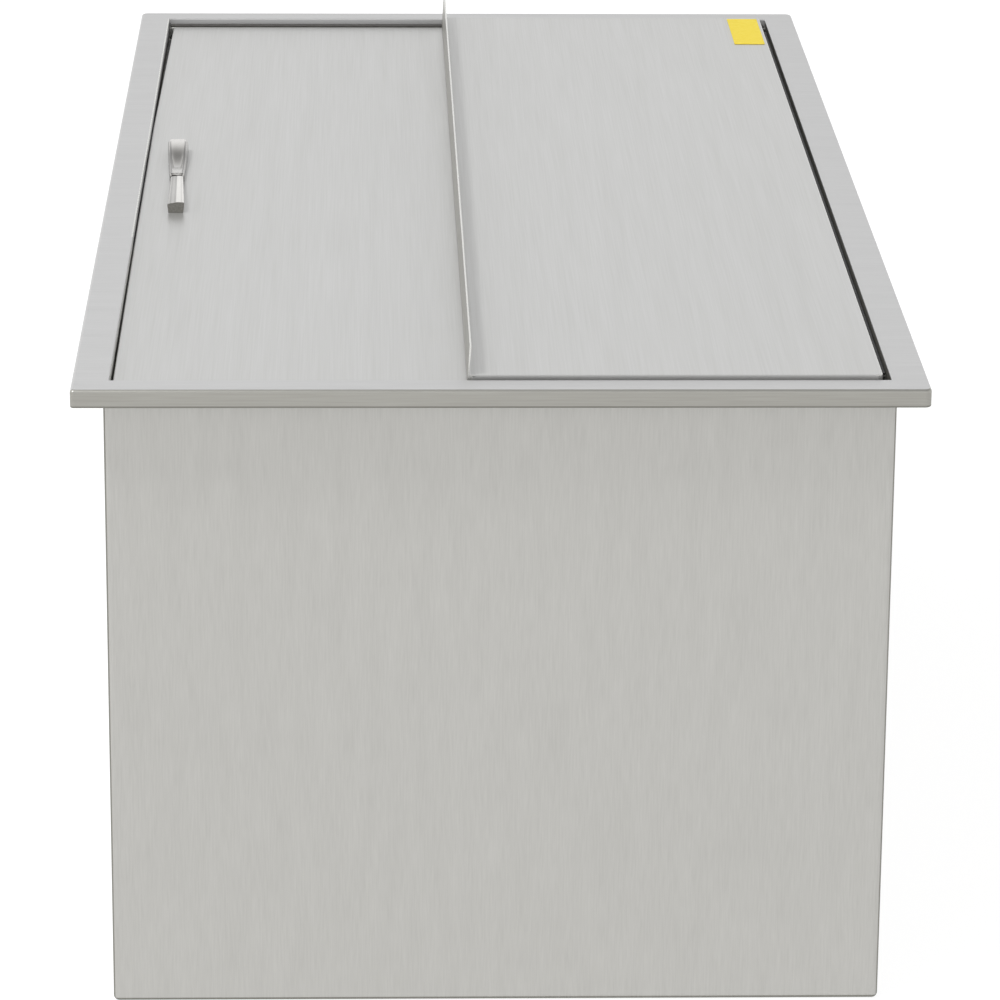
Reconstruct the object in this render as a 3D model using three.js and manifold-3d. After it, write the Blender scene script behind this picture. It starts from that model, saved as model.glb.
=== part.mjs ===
// A stainless steel ice chest that drops into a counter, with a two-part sliding cover.
// Millimetres, +Z up, +Y along the chest, origin at the middle of its base.
import * as THREE from "three";
import { mergeVertices } from "three/addons/utils/BufferGeometryUtils.js";
import Module from "manifold-3d";

const wasm = await Module();
wasm.setup();

// Overall sizes, measured over the rim
const rimWidth = 457.2;
const rimLength = 914.4;
const rimTop = 358.8;

// Sheet metal, and the gaps that pieces keep
const sheet = 1;
const fit = 0.3;
const seat = 0.1;
const overrun = 5;

// Rim frame: a lip turned down and under, a flat top, and a wall down into the opening
const sideRail = 19.8;
const endRail = 18.9;
const lipHeight = 10;
const lipReturn = 6;
const rimBend = 2.2;
const rimCorner = 4.5;
const openingBend = 1.2;
const openingCorner = 0.8;
const rimOverhang = 16.5;

// Outer jacket
const jacketBend = 3;
const leastCorner = 0.4;
const panelReturn = 14;

// Insulated tub
const insulation = 22;
const bottomInsulation = 39;
const tubCorner = 19;
const tubCove = 12;
const dripDepth = 7;

// Cover: each half is a shallow folded pan, the right one above the left
const lidDepth = 5;
const lidBend = 1.6;
const lidCorner = 3;
const rightLidProud = 1.8;
const lidClearance = 1.2;
const rightLidEndGap = 2.9;
const rightLidSideGap = 4.3;
const leftLidSideGap = 1.4;
const leftLidEndGap = 0.8;
const rightLidWidth = 220.8;
const pullFlangeHeight = 16.7;
const lidOverlap = 22.3;

// Two-level tracks and their glide strips
const upperTrackWidth = 7.1;
const glideThick = 0.8;
const glideMargin = 0.5;
const lowerGlideWidth = 9;
const sideGlideWidth = 12;
const glideEndGap = 0.6;

// Lid stiffeners, hat sections under each half
const stiffenerWidth = 60;
const stiffenerFlange = 12;
const stiffenerSetback = 0.5;
const stiffenerEndGap = 30;

// Handle: a low cast pull, waisted in width and in height, screwed on slightly askew
const handleSetback = 19.4;
const handleY = -1.5;
const handleTurn = 1.45;
const handleLength = 161;
const handleFrontWidth = 10.4;
const handleRearWidth = 13.2;
const handleWaistWidth = 8;
const handleEndHeight = 8.5;
const handleWaistHeight = 4.6;
const handleRingWidth = 2.4;
const handleRingDepth = 0.45;
const handleScrewInset = 24.5;
const screwRadius = 2;
const screwHeadRadius = 3.6;
const screwHeadHeight = 2.2;
const screwGrip = 4;

// Plain label on the right half of the cover
const labelWidth = 20.8;
const labelLength = 78;
const labelThick = 0.3;
const labelSideMargin = 2.2;
const labelEndMargin = 5;

// Drain, in the middle of the tub floor
const drainX = 0;
const drainY = 0;
const tailRadius = 16.7;
const tailBore = 13.2;
const tailFoot = 5;
const drainFlangeRadius = 30;
const drainFlangeThick = 1.6;
const strainerSeatRadius = 15;
const strainerSeatDepth = 6.5;
const strainerThick = 1.2;
const strainerHoleRadius = 2;
const strainerHoleCircle = 9.5;
const strainerHoleCount = 8;
const knobRadius = 4;
const knobStemRadius = 1.8;
const knobStemHeight = 8;
const gasketThick = 2;
const gasketRadius = 27;
const nutRadius = 25;
const nutHeight = 8;
const nutSides = 6;
const wellRadius = 33;

// Finish colours
const steelColour = "#c9c8c5";
const darkSteelColour = "#a9a9a6";
const foamColour = "#e6dcae";
const glideColour = "#1d1d1f";
const rubberColour = "#2a2a2a";
const labelColour = "#e6d250";

// Counts of straight steps in round shapes
const cornerSteps = 4;
const bendSteps = 3;
const roundSteps = 36;
const handleSteps = 16;
const handleSectionSteps = 12;

// The foam's sharp corners stay inside the jacket's folds: gap as a share of the fold's
// inner radius
const foamGapShare = 0.475;

// Plan sizes worked out from the driving sizes
const halfWidth = rimWidth / 2;
const halfLength = rimLength / 2;
const openingX = halfWidth - sideRail;
const openingY = halfLength - endRail;
const jacketX = halfWidth - rimOverhang;
const jacketY = halfLength - rimOverhang;
const tubX = jacketX - sheet - insulation - sheet;
const tubY = jacketY - sheet - insulation - sheet;
const foamGap = (jacketBend - sheet) * foamGapShare;
const leftLidEdge = -openingX + leftLidSideGap;
const rightLidEdge = openingX - rightLidSideGap;
const pullFlangeX = rightLidEdge - rightLidWidth;
const handleX = leftLidEdge + handleSetback;

// Levels, worked down from the rim
const rightLidTop = rimTop + rightLidProud;
const rightLidUnder = rightLidTop - lidDepth;
const upperGlideTop = rightLidUnder - fit;
const upperLedge = upperGlideTop - glideThick - seat;
const leftLidTop = rightLidUnder - lidClearance;
const leftLidUnder = leftLidTop - lidDepth;
const lowerGlideTop = leftLidUnder - fit;
const lowerLedge = lowerGlideTop - glideThick - seat;
const tubFlangeTop = lowerLedge - sheet - fit;
const tubFlangeUnder = tubFlangeTop - sheet;
const dripFoot = lowerLedge - dripDepth;
const tubFloorUnder = sheet + bottomInsulation;
const tubFloor = tubFloorUnder + sheet;
const jacketTop = rimTop - sheet - fit;

const chest = new THREE.Group();

// Adds one named piece of the given geometry to the chest.
function addPiece(name, geometry, colour, roughness = 0.35, metalness = 1) {
  geometry.computeVertexNormals();
  const material = new THREE.MeshStandardMaterial({ color: colour, roughness, metalness });
  const mesh = new THREE.Mesh(geometry, material);
  mesh.name = name;
  chest.add(mesh);
}

// A closed geometry as a solid that can be joined and cut.
function solid(geometry) {
  const bare = geometry.clone();
  bare.deleteAttribute("normal");
  bare.deleteAttribute("uv");
  const merged = mergeVertices(bare);
  return new wasm.Manifold(
    new wasm.Mesh({
      numProp: 3,
      vertProperties: merged.attributes.position.array,
      triVerts: new Uint32Array(merged.index.array),
    }),
  );
}

// A joined or cut solid as a geometry again.
function geometryOf(body) {
  const mesh = body.getMesh();
  const geometry = new THREE.BufferGeometry();
  geometry.setAttribute("position", new THREE.BufferAttribute(mesh.vertProperties, 3));
  geometry.setIndex(new THREE.BufferAttribute(mesh.triVerts, 1));
  return geometry;
}

// A box between two opposite corners.
function box([x0, y0, z0], [x1, y1, z1]) {
  const geometry = new THREE.BoxGeometry(x1 - x0, y1 - y0, z1 - z0);
  return geometry.translate((x0 + x1) / 2, (y0 + y1) / 2, (z0 + z1) / 2);
}

// A closed round body about a vertical axis: points are [radius, z] from axis to axis,
// or a closed loop.
function turned(points, x, y, steps = roundSteps) {
  const profile = points.map(([radius, z]) => new THREE.Vector2(radius, z));
  return new THREE.LatheGeometry(profile, steps).rotateX(Math.PI / 2).translate(x, y, 0);
}

// A ring turned from a rectangle.
function washer(inner, outer, z0, z1, x, y, steps = roundSteps) {
  const loop = [[inner, z0], [outer, z0], [outer, z1], [inner, z1], [inner, z0]];
  return turned(loop, x, y, steps);
}

function cylinder(radius, z0, z1, x, y) {
  return turned([[0, z0], [radius, z0], [radius, z1], [0, z1]], x, y);
}

function outlineShape(points) {
  return new THREE.Shape(points.map(([a, b]) => new THREE.Vector2(a, b)));
}

// An outline of [y, z] points, run along X.
function runAlongX(points, x0, x1) {
  const geometry = new THREE.ExtrudeGeometry(outlineShape(points), {
    depth: x1 - x0,
    bevelEnabled: false,
  });
  const turn = new THREE.Matrix4().makeBasis(
    new THREE.Vector3(0, 1, 0),
    new THREE.Vector3(0, 0, 1),
    new THREE.Vector3(1, 0, 0),
  );
  return geometry.applyMatrix4(turn).translate(x0, 0, 0);
}

// An outline of [x, z] points, run along Y.
function runAlongY(points, y0, y1) {
  const geometry = new THREE.ExtrudeGeometry(outlineShape(points), {
    depth: y1 - y0,
    bevelEnabled: false,
  });
  return geometry.rotateX(Math.PI / 2).translate(0, y1, 0);
}

// One level ring of a body: a rectangle with rounded corners, about (cx, cy).
function roundedRing({ x, y, corner, z, cx = 0, cy = 0 }) {
  const ring = [];
  for (let quarter = 0; quarter < 4; quarter++) {
    const signX = quarter === 0 || quarter === 3 ? 1 : -1;
    const signY = quarter < 2 ? 1 : -1;
    for (let step = 0; step <= cornerSteps; step++) {
      const angle = ((quarter + step / cornerSteps) * Math.PI) / 2;
      ring.push([
        cx + signX * (x - corner) + corner * Math.cos(angle),
        cy + signY * (y - corner) + corner * Math.sin(angle),
        z,
      ]);
    }
  }
  return ring;
}

// Skins a row of rings that have the same number of points. The row either closes on
// itself or is capped at both ends by fans about the middle of each end ring.
function skin(rings, closesOnItself) {
  const count = rings[0].length;
  const positions = rings.flat(2);
  const indices = [];
  const bands = closesOnItself ? rings.length : rings.length - 1;
  for (let band = 0; band < bands; band++) {
    const low = band * count;
    const high = ((band + 1) % rings.length) * count;
    for (let i = 0; i < count; i++) {
      const next = (i + 1) % count;
      indices.push(low + i, low + next, high + next, low + i, high + next, high + i);
    }
  }
  if (!closesOnItself) {
    for (const [ring, first, flip] of [
      [rings[0], 0, true],
      [rings.at(-1), (rings.length - 1) * count, false],
    ]) {
      const middle = [0, 1, 2].map((axis) => ring.reduce((sum, p) => sum + p[axis], 0) / count);
      const centre = positions.length / 3;
      positions.push(...middle);
      for (let i = 0; i < count; i++) {
        const next = (i + 1) % count;
        if (flip) indices.push(centre, first + next, first + i);
        else indices.push(centre, first + i, first + next);
      }
    }
  }
  const geometry = new THREE.BufferGeometry();
  geometry.setAttribute("position", new THREE.Float32BufferAttribute(positions, 3));
  geometry.setIndex(indices);
  return geometry;
}

// Quarter turns for folded edges: [share of the radius left to go, share already gone].
function quarterShares() {
  const shares = [];
  for (let step = 0; step <= bendSteps; step++) {
    const angle = (step / bendSteps) * (Math.PI / 2);
    shares.push([1 - Math.sin(angle), 1 - Math.cos(angle)]);
  }
  return shares;
}

// An open box of sheet with folded bottom edges, from its outside floor up, over its
// top edge, and down to its inside floor.
function openBox({ x, y, corner, bend, wall, floor, top, flangeX = 0, flangeY = 0 }) {
  const rings = [];
  for (const [inset, rise] of quarterShares()) {
    const out = inset * bend;
    rings.push(
      roundedRing({ x: x - out, y: y - out, corner: corner - out, z: floor + rise * bend }),
    );
  }
  if (flangeX) {
    const wide = { x: x + flangeX, y: y + flangeY, corner };
    rings.push(roundedRing({ x, y, corner, z: top - wall }));
    rings.push(roundedRing({ ...wide, z: top - wall }));
    rings.push(roundedRing({ ...wide, z: top }));
  } else {
    rings.push(roundedRing({ x, y, corner, z: top }));
  }
  const innerBend = bend - wall;
  const inner = { x: x - wall, y: y - wall, corner: corner - wall };
  rings.push(roundedRing({ ...inner, z: top }));
  for (const [inset, rise] of quarterShares().reverse()) {
    const out = inset * innerBend;
    rings.push(
      roundedRing({
        x: inner.x - out,
        y: inner.y - out,
        corner: inner.corner - out,
        z: floor + wall + rise * innerBend,
      }),
    );
  }
  return skin(rings, false);
}

// A shallow lid pan, open below: [x0, x1] across, half the length each way, and its top.
function lidPan(x0, x1, y, top) {
  const x = (x1 - x0) / 2;
  const cx = (x0 + x1) / 2;
  const under = top - lidDepth;
  const rings = [];
  const innerBend = lidBend - sheet;
  const inner = { x: x - sheet, y: y - sheet, corner: lidCorner - sheet };
  for (const [inset, drop] of quarterShares()) {
    const out = inset * innerBend;
    rings.push(
      roundedRing({
        cx,
        x: inner.x - out,
        y: inner.y - out,
        corner: inner.corner - out,
        z: top - sheet - drop * innerBend,
      }),
    );
  }
  rings.push(roundedRing({ cx, ...inner, z: under }));
  rings.push(roundedRing({ cx, x, y, corner: lidCorner, z: under }));
  for (const [inset, drop] of quarterShares().reverse()) {
    const out = inset * lidBend;
    rings.push(
      roundedRing({ cx, x: x - out, y: y - out, corner: lidCorner - out, z: top - drop * lidBend }),
    );
  }
  return skin(rings, false);
}

// Rim frame, one welded ring of folded sheet
function buildRimFrame() {
  const railRing = (back, z, corner) =>
    roundedRing({ x: openingX + back, y: openingY + back, corner, z });
  const lipRing = (inset, z) => {
    const corner = Math.max(rimCorner - inset, openingBend);
    return roundedRing({ x: halfWidth - inset, y: halfLength - inset, corner, z });
  };
  const lipFoot = rimTop - lipHeight;
  const dropFoot = lowerLedge - sheet;
  const behind = openingCorner + sheet;
  const rings = [lipRing(0, lipFoot)];
  for (const [up, inset] of quarterShares()) rings.push(lipRing(inset * rimBend, rimTop - up * rimBend));
  for (const [back, down] of quarterShares()) {
    const corner = openingCorner + back * openingBend;
    rings.push(railRing(back * openingBend, rimTop - down * openingBend, corner));
  }
  rings.push(railRing(0, dropFoot, openingCorner));
  rings.push(railRing(sheet, dropFoot, behind));
  rings.push(railRing(sheet, rimTop - sheet, behind));
  rings.push(lipRing(sheet, rimTop - sheet));
  rings.push(lipRing(sheet, lipFoot + sheet));
  rings.push(lipRing(lipReturn, lipFoot + sheet));
  rings.push(lipRing(lipReturn, lipFoot));
  addPiece("rim_frame", skin(rings, true), steelColour);
}

// Outer jacket, cut from one folded box into the panels that make it up
function buildJacket() {
  const shell = solid(
    openBox({
      x: jacketX,
      y: jacketY,
      corner: jacketBend + leastCorner,
      bend: jacketBend,
      wall: sheet,
      floor: 0,
      top: jacketTop,
    }),
  );
  const seamX = jacketX - jacketBend - panelReturn;
  const seamY = jacketY - jacketBend - panelReturn;
  const outX = jacketX + overrun;
  const outY = jacketY + overrun;
  const low = -overrun;
  const high = jacketTop + overrun;
  const cut = (from, to) => shell.intersect(solid(box(from, to)));
  const inX = seamX - fit;
  const inY = seamY - fit;
  const front = cut([-outX, -outY, low], [outX, -seamY, high]);
  const rear = cut([-outX, seamY, low], [outX, outY, high]);
  const left = cut([-outX, -inY, low], [-seamX, inY, high]);
  const right = cut([seamX, -inY, low], [outX, inY, high]);
  const outlet = solid(cylinder(wellRadius, low, sheet + overrun, drainX, drainY));
  const bottom = cut([-inX, -inY, low], [inX, inY, sheet + overrun]).subtract(outlet);
  addPiece("jacket_front_panel", geometryOf(front), steelColour);
  addPiece("jacket_rear_panel", geometryOf(rear), steelColour);
  addPiece("jacket_left_panel", geometryOf(left), steelColour);
  addPiece("jacket_right_panel", geometryOf(right), steelColour);
  addPiece("jacket_bottom_panel", geometryOf(bottom), darkSteelColour);
}

// Foam slabs between the jacket and the tub
function buildInsulation() {
  const outX = jacketX - sheet - foamGap;
  const outY = jacketY - sheet - foamGap;
  const inX = tubX + sheet + foamGap;
  const inY = tubY + sheet + foamGap;
  const sideY = inY - fit;
  const slabTop = tubFlangeUnder - foamGap;
  const bottomTop = tubFloorUnder - foamGap;
  const foot = bottomTop + fit;
  const foam = (name, geometry) => addPiece(name, geometry, foamColour, 0.95, 0);
  foam("foam_front", box([-outX, -outY, foot], [outX, -inY, slabTop]));
  foam("foam_rear", box([-outX, inY, foot], [outX, outY, slabTop]));
  foam("foam_left", box([-outX, -sideY, foot], [-inX, sideY, slabTop]));
  foam("foam_right", box([inX, -sideY, foot], [outX, sideY, slabTop]));
  const hole = wellRadius + sheet + foamGap;
  const slab = solid(box([-outX, -outY, sheet + foamGap], [outX, outY, bottomTop]));
  const bore = solid(cylinder(hole, 0, bottomTop + overrun, drainX, drainY));
  foam("foam_bottom", geometryOf(slab.subtract(bore)));
}

// Inner tub, hung by its flange under the tracks
function buildTub() {
  const tub = openBox({
    x: tubX + sheet,
    y: tubY + sheet,
    corner: tubCorner + sheet,
    bend: tubCove + sheet,
    wall: sheet,
    floor: tubFloorUnder,
    top: tubFlangeTop,
    flangeX: openingX - fit - tubX - sheet,
    flangeY: openingY - fit - tubY - sheet,
  });
  const hole = cylinder(tailRadius + fit, 0, tubFloor + overrun, drainX, drainY);
  addPiece("tub", geometryOf(solid(tub).subtract(solid(hole))), steelColour);
}

// Tracks at both ends: an upper ledge, a step down, a lower ledge, and a drip leg
// inside the tub
function buildTracks() {
  const reach = openingX - fit;
  const legReach = tubX - tubCorner;
  for (const [name, way] of [["front", -1], ["rear", 1]]) {
    const outer = openingY - fit;
    const step = openingY - upperTrackWidth;
    const leg = tubY - fit;
    const ledges = [
      [outer, upperLedge],
      [step, upperLedge],
      [step, lowerLedge],
      [leg - sheet, lowerLedge],
      [leg - sheet, lowerLedge - sheet],
      [step + sheet, lowerLedge - sheet],
      [step + sheet, upperLedge - sheet],
      [outer, upperLedge - sheet],
    ].map(([y, z]) => [way * y, z]);
    const drip = [
      [leg - sheet, lowerLedge - sheet / 2],
      [leg, lowerLedge - sheet / 2],
      [leg, dripFoot],
      [leg - sheet, dripFoot],
    ].map(([y, z]) => [way * y, z]);
    const track = solid(runAlongX(ledges, -reach, reach)).add(
      solid(runAlongX(drip, -legReach, legReach)),
    );
    addPiece(`${name}_track`, geometryOf(track), steelColour);

    const upperMiddle = (openingY + step) / 2;
    const lowerMiddle = step - glideMargin - lowerGlideWidth / 2;
    const glides = [
      ["upper", upperMiddle, upperTrackWidth - 2 * glideMargin, upperGlideTop],
      ["lower", lowerMiddle, lowerGlideWidth, lowerGlideTop],
    ];
    for (const [level, middle, width, top] of glides) {
      const glide = box(
        [-reach + glideEndGap, way * middle - width / 2, top - glideThick],
        [reach - glideEndGap, way * middle + width / 2, top],
      );
      addPiece(`${name}_${level}_glide`, glide, glideColour, 0.6, 0);
    }
  }
}

// Ledges along both sides, between the tracks
function buildSideLedges() {
  const reach = tubY - fit - sheet - fit;
  const legReach = tubY - tubCorner;
  const outer = openingX - fit;
  const leg = tubX - fit;
  const leftTop = [
    [-outer, lowerLedge],
    [-(leg - sheet), lowerLedge],
    [-(leg - sheet), lowerLedge - sheet],
    [-outer, lowerLedge - sheet],
  ];
  const leftDrip = [
    [-leg, lowerLedge - sheet / 2],
    [-(leg - sheet), lowerLedge - sheet / 2],
    [-(leg - sheet), dripFoot],
    [-leg, dripFoot],
  ];
  const rightTop = [
    [outer, upperLedge],
    [leg - sheet, upperLedge],
    [leg - sheet, upperLedge - sheet],
    [outer - sheet, upperLedge - sheet],
    [outer - sheet, tubFlangeTop + fit],
    [outer, tubFlangeTop + fit],
  ];
  const rightDrip = [
    [leg, upperLedge - sheet / 2],
    [leg - sheet, upperLedge - sheet / 2],
    [leg - sheet, dripFoot],
    [leg, dripFoot],
  ];
  for (const [name, top, drip] of [
    ["left_ledge", leftTop, leftDrip],
    ["right_ledge", rightTop, rightDrip],
  ]) {
    const ledge = solid(runAlongY(top, -reach, reach)).add(
      solid(runAlongY(drip, -legReach, legReach)),
    );
    addPiece(name, geometryOf(ledge), steelColour);
  }
  const glideEdge = outer - glideMargin;
  const glideReach = reach - glideEndGap;
  for (const [name, way, top] of [
    ["left_glide", -1, lowerGlideTop],
    ["right_glide", 1, upperGlideTop],
  ]) {
    const middle = way * (glideEdge - sideGlideWidth / 2);
    const glide = box(
      [middle - sideGlideWidth / 2, -glideReach, top - glideThick],
      [middle + sideGlideWidth / 2, glideReach, top],
    );
    addPiece(name, glide, glideColour, 0.6, 0);
  }
}

// A hat section along a lid, centred at x, that hangs from the underside of its sheet
function stiffener(x, y, lidTop) {
  const top = lidTop - sheet - seat;
  const foot = lidTop - lidDepth + stiffenerSetback;
  const wide = stiffenerWidth / 2;
  const narrow = wide - stiffenerFlange;
  const hat = [
    [x - wide, top],
    [x - narrow, top],
    [x - narrow, foot + sheet],
    [x + narrow, foot + sheet],
    [x + narrow, top],
    [x + wide, top],
    [x + wide, top - sheet],
    [x + narrow + sheet, top - sheet],
    [x + narrow + sheet, foot],
    [x - narrow - sheet, foot],
    [x - narrow - sheet, top - sheet],
    [x - wide, top - sheet],
  ];
  return runAlongY(hat, -y + stiffenerEndGap, y - stiffenerEndGap);
}

// Left half of the cover, which runs on the lower track
function buildLeftLid() {
  const x0 = leftLidEdge;
  const x1 = pullFlangeX + lidOverlap;
  const y = openingY - upperTrackWidth - leftLidEndGap;
  const screwSpots = [-1, 1].map((way) => handleSpot(0, way * (handleLength / 2 - handleScrewInset)));
  let pan = solid(lidPan(x0, x1, y, leftLidTop));
  for (const spot of screwSpots) {
    const hole = cylinder(screwRadius + fit, leftLidUnder, leftLidTop + overrun, ...spot);
    pan = pan.subtract(solid(hole));
  }
  addPiece("left_lid", geometryOf(pan), steelColour);
  addPiece("left_lid_stiffener", stiffener((x0 + x1) / 2, y, leftLidTop), darkSteelColour);
  buildHandle(screwSpots);
}

// A place on the lid from the handle's own middle: across it, and along it.
function handleSpot(across, along) {
  const angle = (handleTurn * Math.PI) / 180;
  return [
    handleX + across * Math.cos(angle) - along * Math.sin(angle),
    handleY + across * Math.sin(angle) + along * Math.cos(angle),
  ];
}

// Handle, skinned along its length, and the two screws that hold it from below
function buildHandle(screwSpots) {
  const rings = [];
  const base = leftLidTop + seat;
  const half = handleLength / 2;
  const ringShare = handleRingWidth / half;
  const stations = [];
  for (let step = -handleSteps / 2; step <= handleSteps / 2; step++) {
    if (step) stations.push([(2 * step) / handleSteps, 0]);
  }
  stations.push([-ringShare, 0], [-ringShare / 2, handleRingDepth]);
  stations.push([ringShare / 2, handleRingDepth], [ringShare, 0]);
  stations.sort((a, b) => a[0] - b[0]);
  for (const [along, groove] of stations) {
    const rise = (1 - Math.cos(Math.PI * Math.abs(along))) / 2;
    const endWidth = along < 0 ? handleFrontWidth : handleRearWidth;
    const width = handleWaistWidth + (endWidth - handleWaistWidth) * Math.abs(along);
    const height = handleWaistHeight + (handleEndHeight - handleWaistHeight) * rise;
    const ring = [];
    for (let step = 0; step <= handleSectionSteps; step++) {
      const angle = (Math.PI * step) / handleSectionSteps;
      const across = Math.sign(Math.cos(angle)) * Math.sqrt(Math.abs(Math.cos(angle)));
      const up = Math.sqrt(Math.sin(angle));
      const spot = handleSpot(-(width / 2 - groove) * across, half * along);
      ring.push([...spot, base + (height - groove) * up]);
    }
    rings.push(ring);
  }
  let pull = solid(skin(rings, false));
  for (const spot of screwSpots) {
    const socketTop = base + screwGrip + fit;
    pull = pull.subtract(solid(cylinder(screwRadius + fit, leftLidUnder, socketTop, ...spot)));
  }
  addPiece("handle", geometryOf(pull), steelColour, 0.25);
  const headTop = leftLidTop - sheet - seat;
  const shankTop = base + screwGrip;
  for (const [name, spot] of [["front", screwSpots[0]], ["rear", screwSpots[1]]]) {
    const screw = turned(
      [
        [0, headTop - screwHeadHeight],
        [screwHeadRadius, headTop - screwHeadHeight],
        [screwHeadRadius, headTop],
        [screwRadius, headTop],
        [screwRadius, shankTop],
        [0, shankTop],
      ],
      ...spot,
    );
    addPiece(`handle_screw_${name}`, screw, darkSteelColour);
  }
}

// Right half of the cover, with its upright pull flange and a plain label
function buildRightLid() {
  const x1 = rightLidEdge;
  const y = openingY - rightLidEndGap;
  const keep = box(
    [pullFlangeX + sheet / 2, -y - overrun, rightLidUnder - overrun],
    [x1 + overrun, y + overrun, rightLidTop + overrun],
  );
  const pan = solid(lidPan(pullFlangeX, x1, y, rightLidTop)).intersect(solid(keep));
  const flange = box(
    [pullFlangeX, -y, rightLidUnder],
    [pullFlangeX + sheet, y, rightLidTop + pullFlangeHeight],
  );
  addPiece("right_lid", geometryOf(pan.add(solid(flange))), steelColour);
  const middle = (pullFlangeX + x1) / 2;
  addPiece("right_lid_stiffener", stiffener(middle, y, rightLidTop), darkSteelColour);
  const labelX = x1 - labelSideMargin;
  const labelY = y - labelEndMargin;
  const label = box(
    [labelX - labelWidth, labelY - labelLength, rightLidTop + seat],
    [labelX, labelY, rightLidTop + seat + labelThick],
  );
  addPiece("label", label, labelColour, 0.5, 0);
}

// Drain: a flanged cup and a tail through the tub floor, clamped by a nut, in a well in
// the base
function buildDrain() {
  const at = [drainX, drainY];
  const flangeUnder = tubFloor + fit;
  const flangeTop = flangeUnder + drainFlangeThick;
  const seatLevel = flangeTop - strainerSeatDepth;
  const cupFoot = seatLevel - drainFlangeThick;
  const flange = turned(
    [
      [tailBore, cupFoot],
      [tailRadius, cupFoot],
      [tailRadius, flangeUnder],
      [drainFlangeRadius, flangeUnder],
      [drainFlangeRadius, flangeUnder + drainFlangeThick / 2],
      [drainFlangeRadius - drainFlangeThick, flangeTop],
      [strainerSeatRadius, flangeTop],
      [strainerSeatRadius, seatLevel],
      [tailBore, seatLevel],
      [tailBore, cupFoot],
    ],
    ...at,
  );
  addPiece("drain_flange", flange, steelColour);
  const tail = washer(tailBore, tailRadius, tailFoot, cupFoot - fit, ...at);
  addPiece("drain_tail", tail, darkSteelColour);

  const gasketTop = tubFloorUnder - fit;
  const gasketUnder = gasketTop - gasketThick;
  const gasket = washer(tailRadius + fit, gasketRadius, gasketUnder, gasketTop, ...at);
  addPiece("drain_gasket", gasket, rubberColour, 0.9, 0);

  const nutTop = gasketUnder - fit;
  const nutBlank = solid(
    new THREE.CylinderGeometry(nutRadius, nutRadius, nutHeight, nutSides)
      .rotateX(Math.PI / 2)
      .translate(drainX, drainY, nutTop - nutHeight / 2),
  );
  const nutBore = cylinder(tailRadius + fit, 0, nutTop + overrun, ...at);
  addPiece("drain_nut", geometryOf(nutBlank.subtract(solid(nutBore))), darkSteelColour);

  const wellFoot = sheet + fit;
  const wellTop = tubFloorUnder - foamGap;
  addPiece("drain_well", washer(wellRadius, wellRadius + sheet, wellFoot, wellTop, ...at), darkSteelColour);
  buildStrainer(seatLevel + fit);
}

// Lift-out strainer: a perforated disc with a knob
function buildStrainer(foot) {
  const top = foot + strainerThick;
  const ballMiddle = top + knobStemHeight;
  const profile = [[0, foot], [strainerSeatRadius - 2 * fit, foot], [strainerSeatRadius - 2 * fit, top]];
  profile.push([knobStemRadius, top]);
  const stemAngle = Math.asin(knobStemRadius / knobRadius);
  for (let step = 0; step <= cornerSteps * 2; step++) {
    const angle = stemAngle + (step / (cornerSteps * 2)) * (Math.PI - stemAngle);
    const radius = step === cornerSteps * 2 ? 0 : knobRadius * Math.sin(angle);
    profile.push([radius, ballMiddle - knobRadius * Math.cos(angle)]);
  }
  let strainer = solid(turned(profile, drainX, drainY));
  for (let i = 0; i < strainerHoleCount; i++) {
    const angle = (2 * Math.PI * i) / strainerHoleCount;
    const x = drainX + strainerHoleCircle * Math.cos(angle);
    const y = drainY + strainerHoleCircle * Math.sin(angle);
    const hole = new THREE.CylinderGeometry(
      strainerHoleRadius,
      strainerHoleRadius,
      strainerThick + 2 * overrun,
      cornerSteps * 3,
    );
    strainer = strainer.subtract(solid(hole.rotateX(Math.PI / 2).translate(x, y, foot)));
  }
  addPiece("drain_strainer", geometryOf(strainer), steelColour);
}

buildJacket();
buildInsulation();
buildTub();
buildRimFrame();
buildTracks();
buildSideLedges();
buildLeftLid();
buildRightLid();
buildDrain();

export default chest;
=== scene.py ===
# %% [markdown]
# # A drop-in ice chest in brushed steel
# This lesson dresses a stainless steel ice chest that drops into a counter. The CAD
# model fixes every size, so it is loaded first and never moved. Each visible piece of
# folded sheet is then made again as a smooth surface, worked out with numpy, in the
# same place.

from math import pi, radians

import bmesh
import bpy
import numpy as np
from mathutils import Matrix, Vector


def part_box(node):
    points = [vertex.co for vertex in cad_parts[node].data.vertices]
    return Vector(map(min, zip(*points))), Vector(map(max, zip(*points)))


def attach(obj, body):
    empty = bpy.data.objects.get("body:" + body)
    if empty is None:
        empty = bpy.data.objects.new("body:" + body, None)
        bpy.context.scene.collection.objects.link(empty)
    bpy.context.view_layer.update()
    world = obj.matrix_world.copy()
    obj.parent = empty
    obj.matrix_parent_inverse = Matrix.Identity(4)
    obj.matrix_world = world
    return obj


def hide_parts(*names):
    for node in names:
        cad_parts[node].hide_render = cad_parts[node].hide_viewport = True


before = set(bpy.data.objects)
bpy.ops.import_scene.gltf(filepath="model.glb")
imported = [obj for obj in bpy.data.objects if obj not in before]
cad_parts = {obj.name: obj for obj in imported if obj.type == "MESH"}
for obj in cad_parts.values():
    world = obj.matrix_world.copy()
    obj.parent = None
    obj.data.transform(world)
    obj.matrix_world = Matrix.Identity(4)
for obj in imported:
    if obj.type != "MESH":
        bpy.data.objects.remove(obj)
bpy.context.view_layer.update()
scene = bpy.context.scene

# %% [markdown]
# ## Millimetres
# The frame is in metres, but sheet metal is thought of in millimetres. So every length
# below is in millimetres and is turned to metres at the very end. A node's own corners
# say where its new piece goes.

# %% Units and corners
MM = 0.001
SHEET = 1.0


def span(node):
    """The lowest and the highest corner of a CAD node, in millimetres."""
    low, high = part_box(node)
    return np.array(low) / MM, np.array(high) / MM


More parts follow.
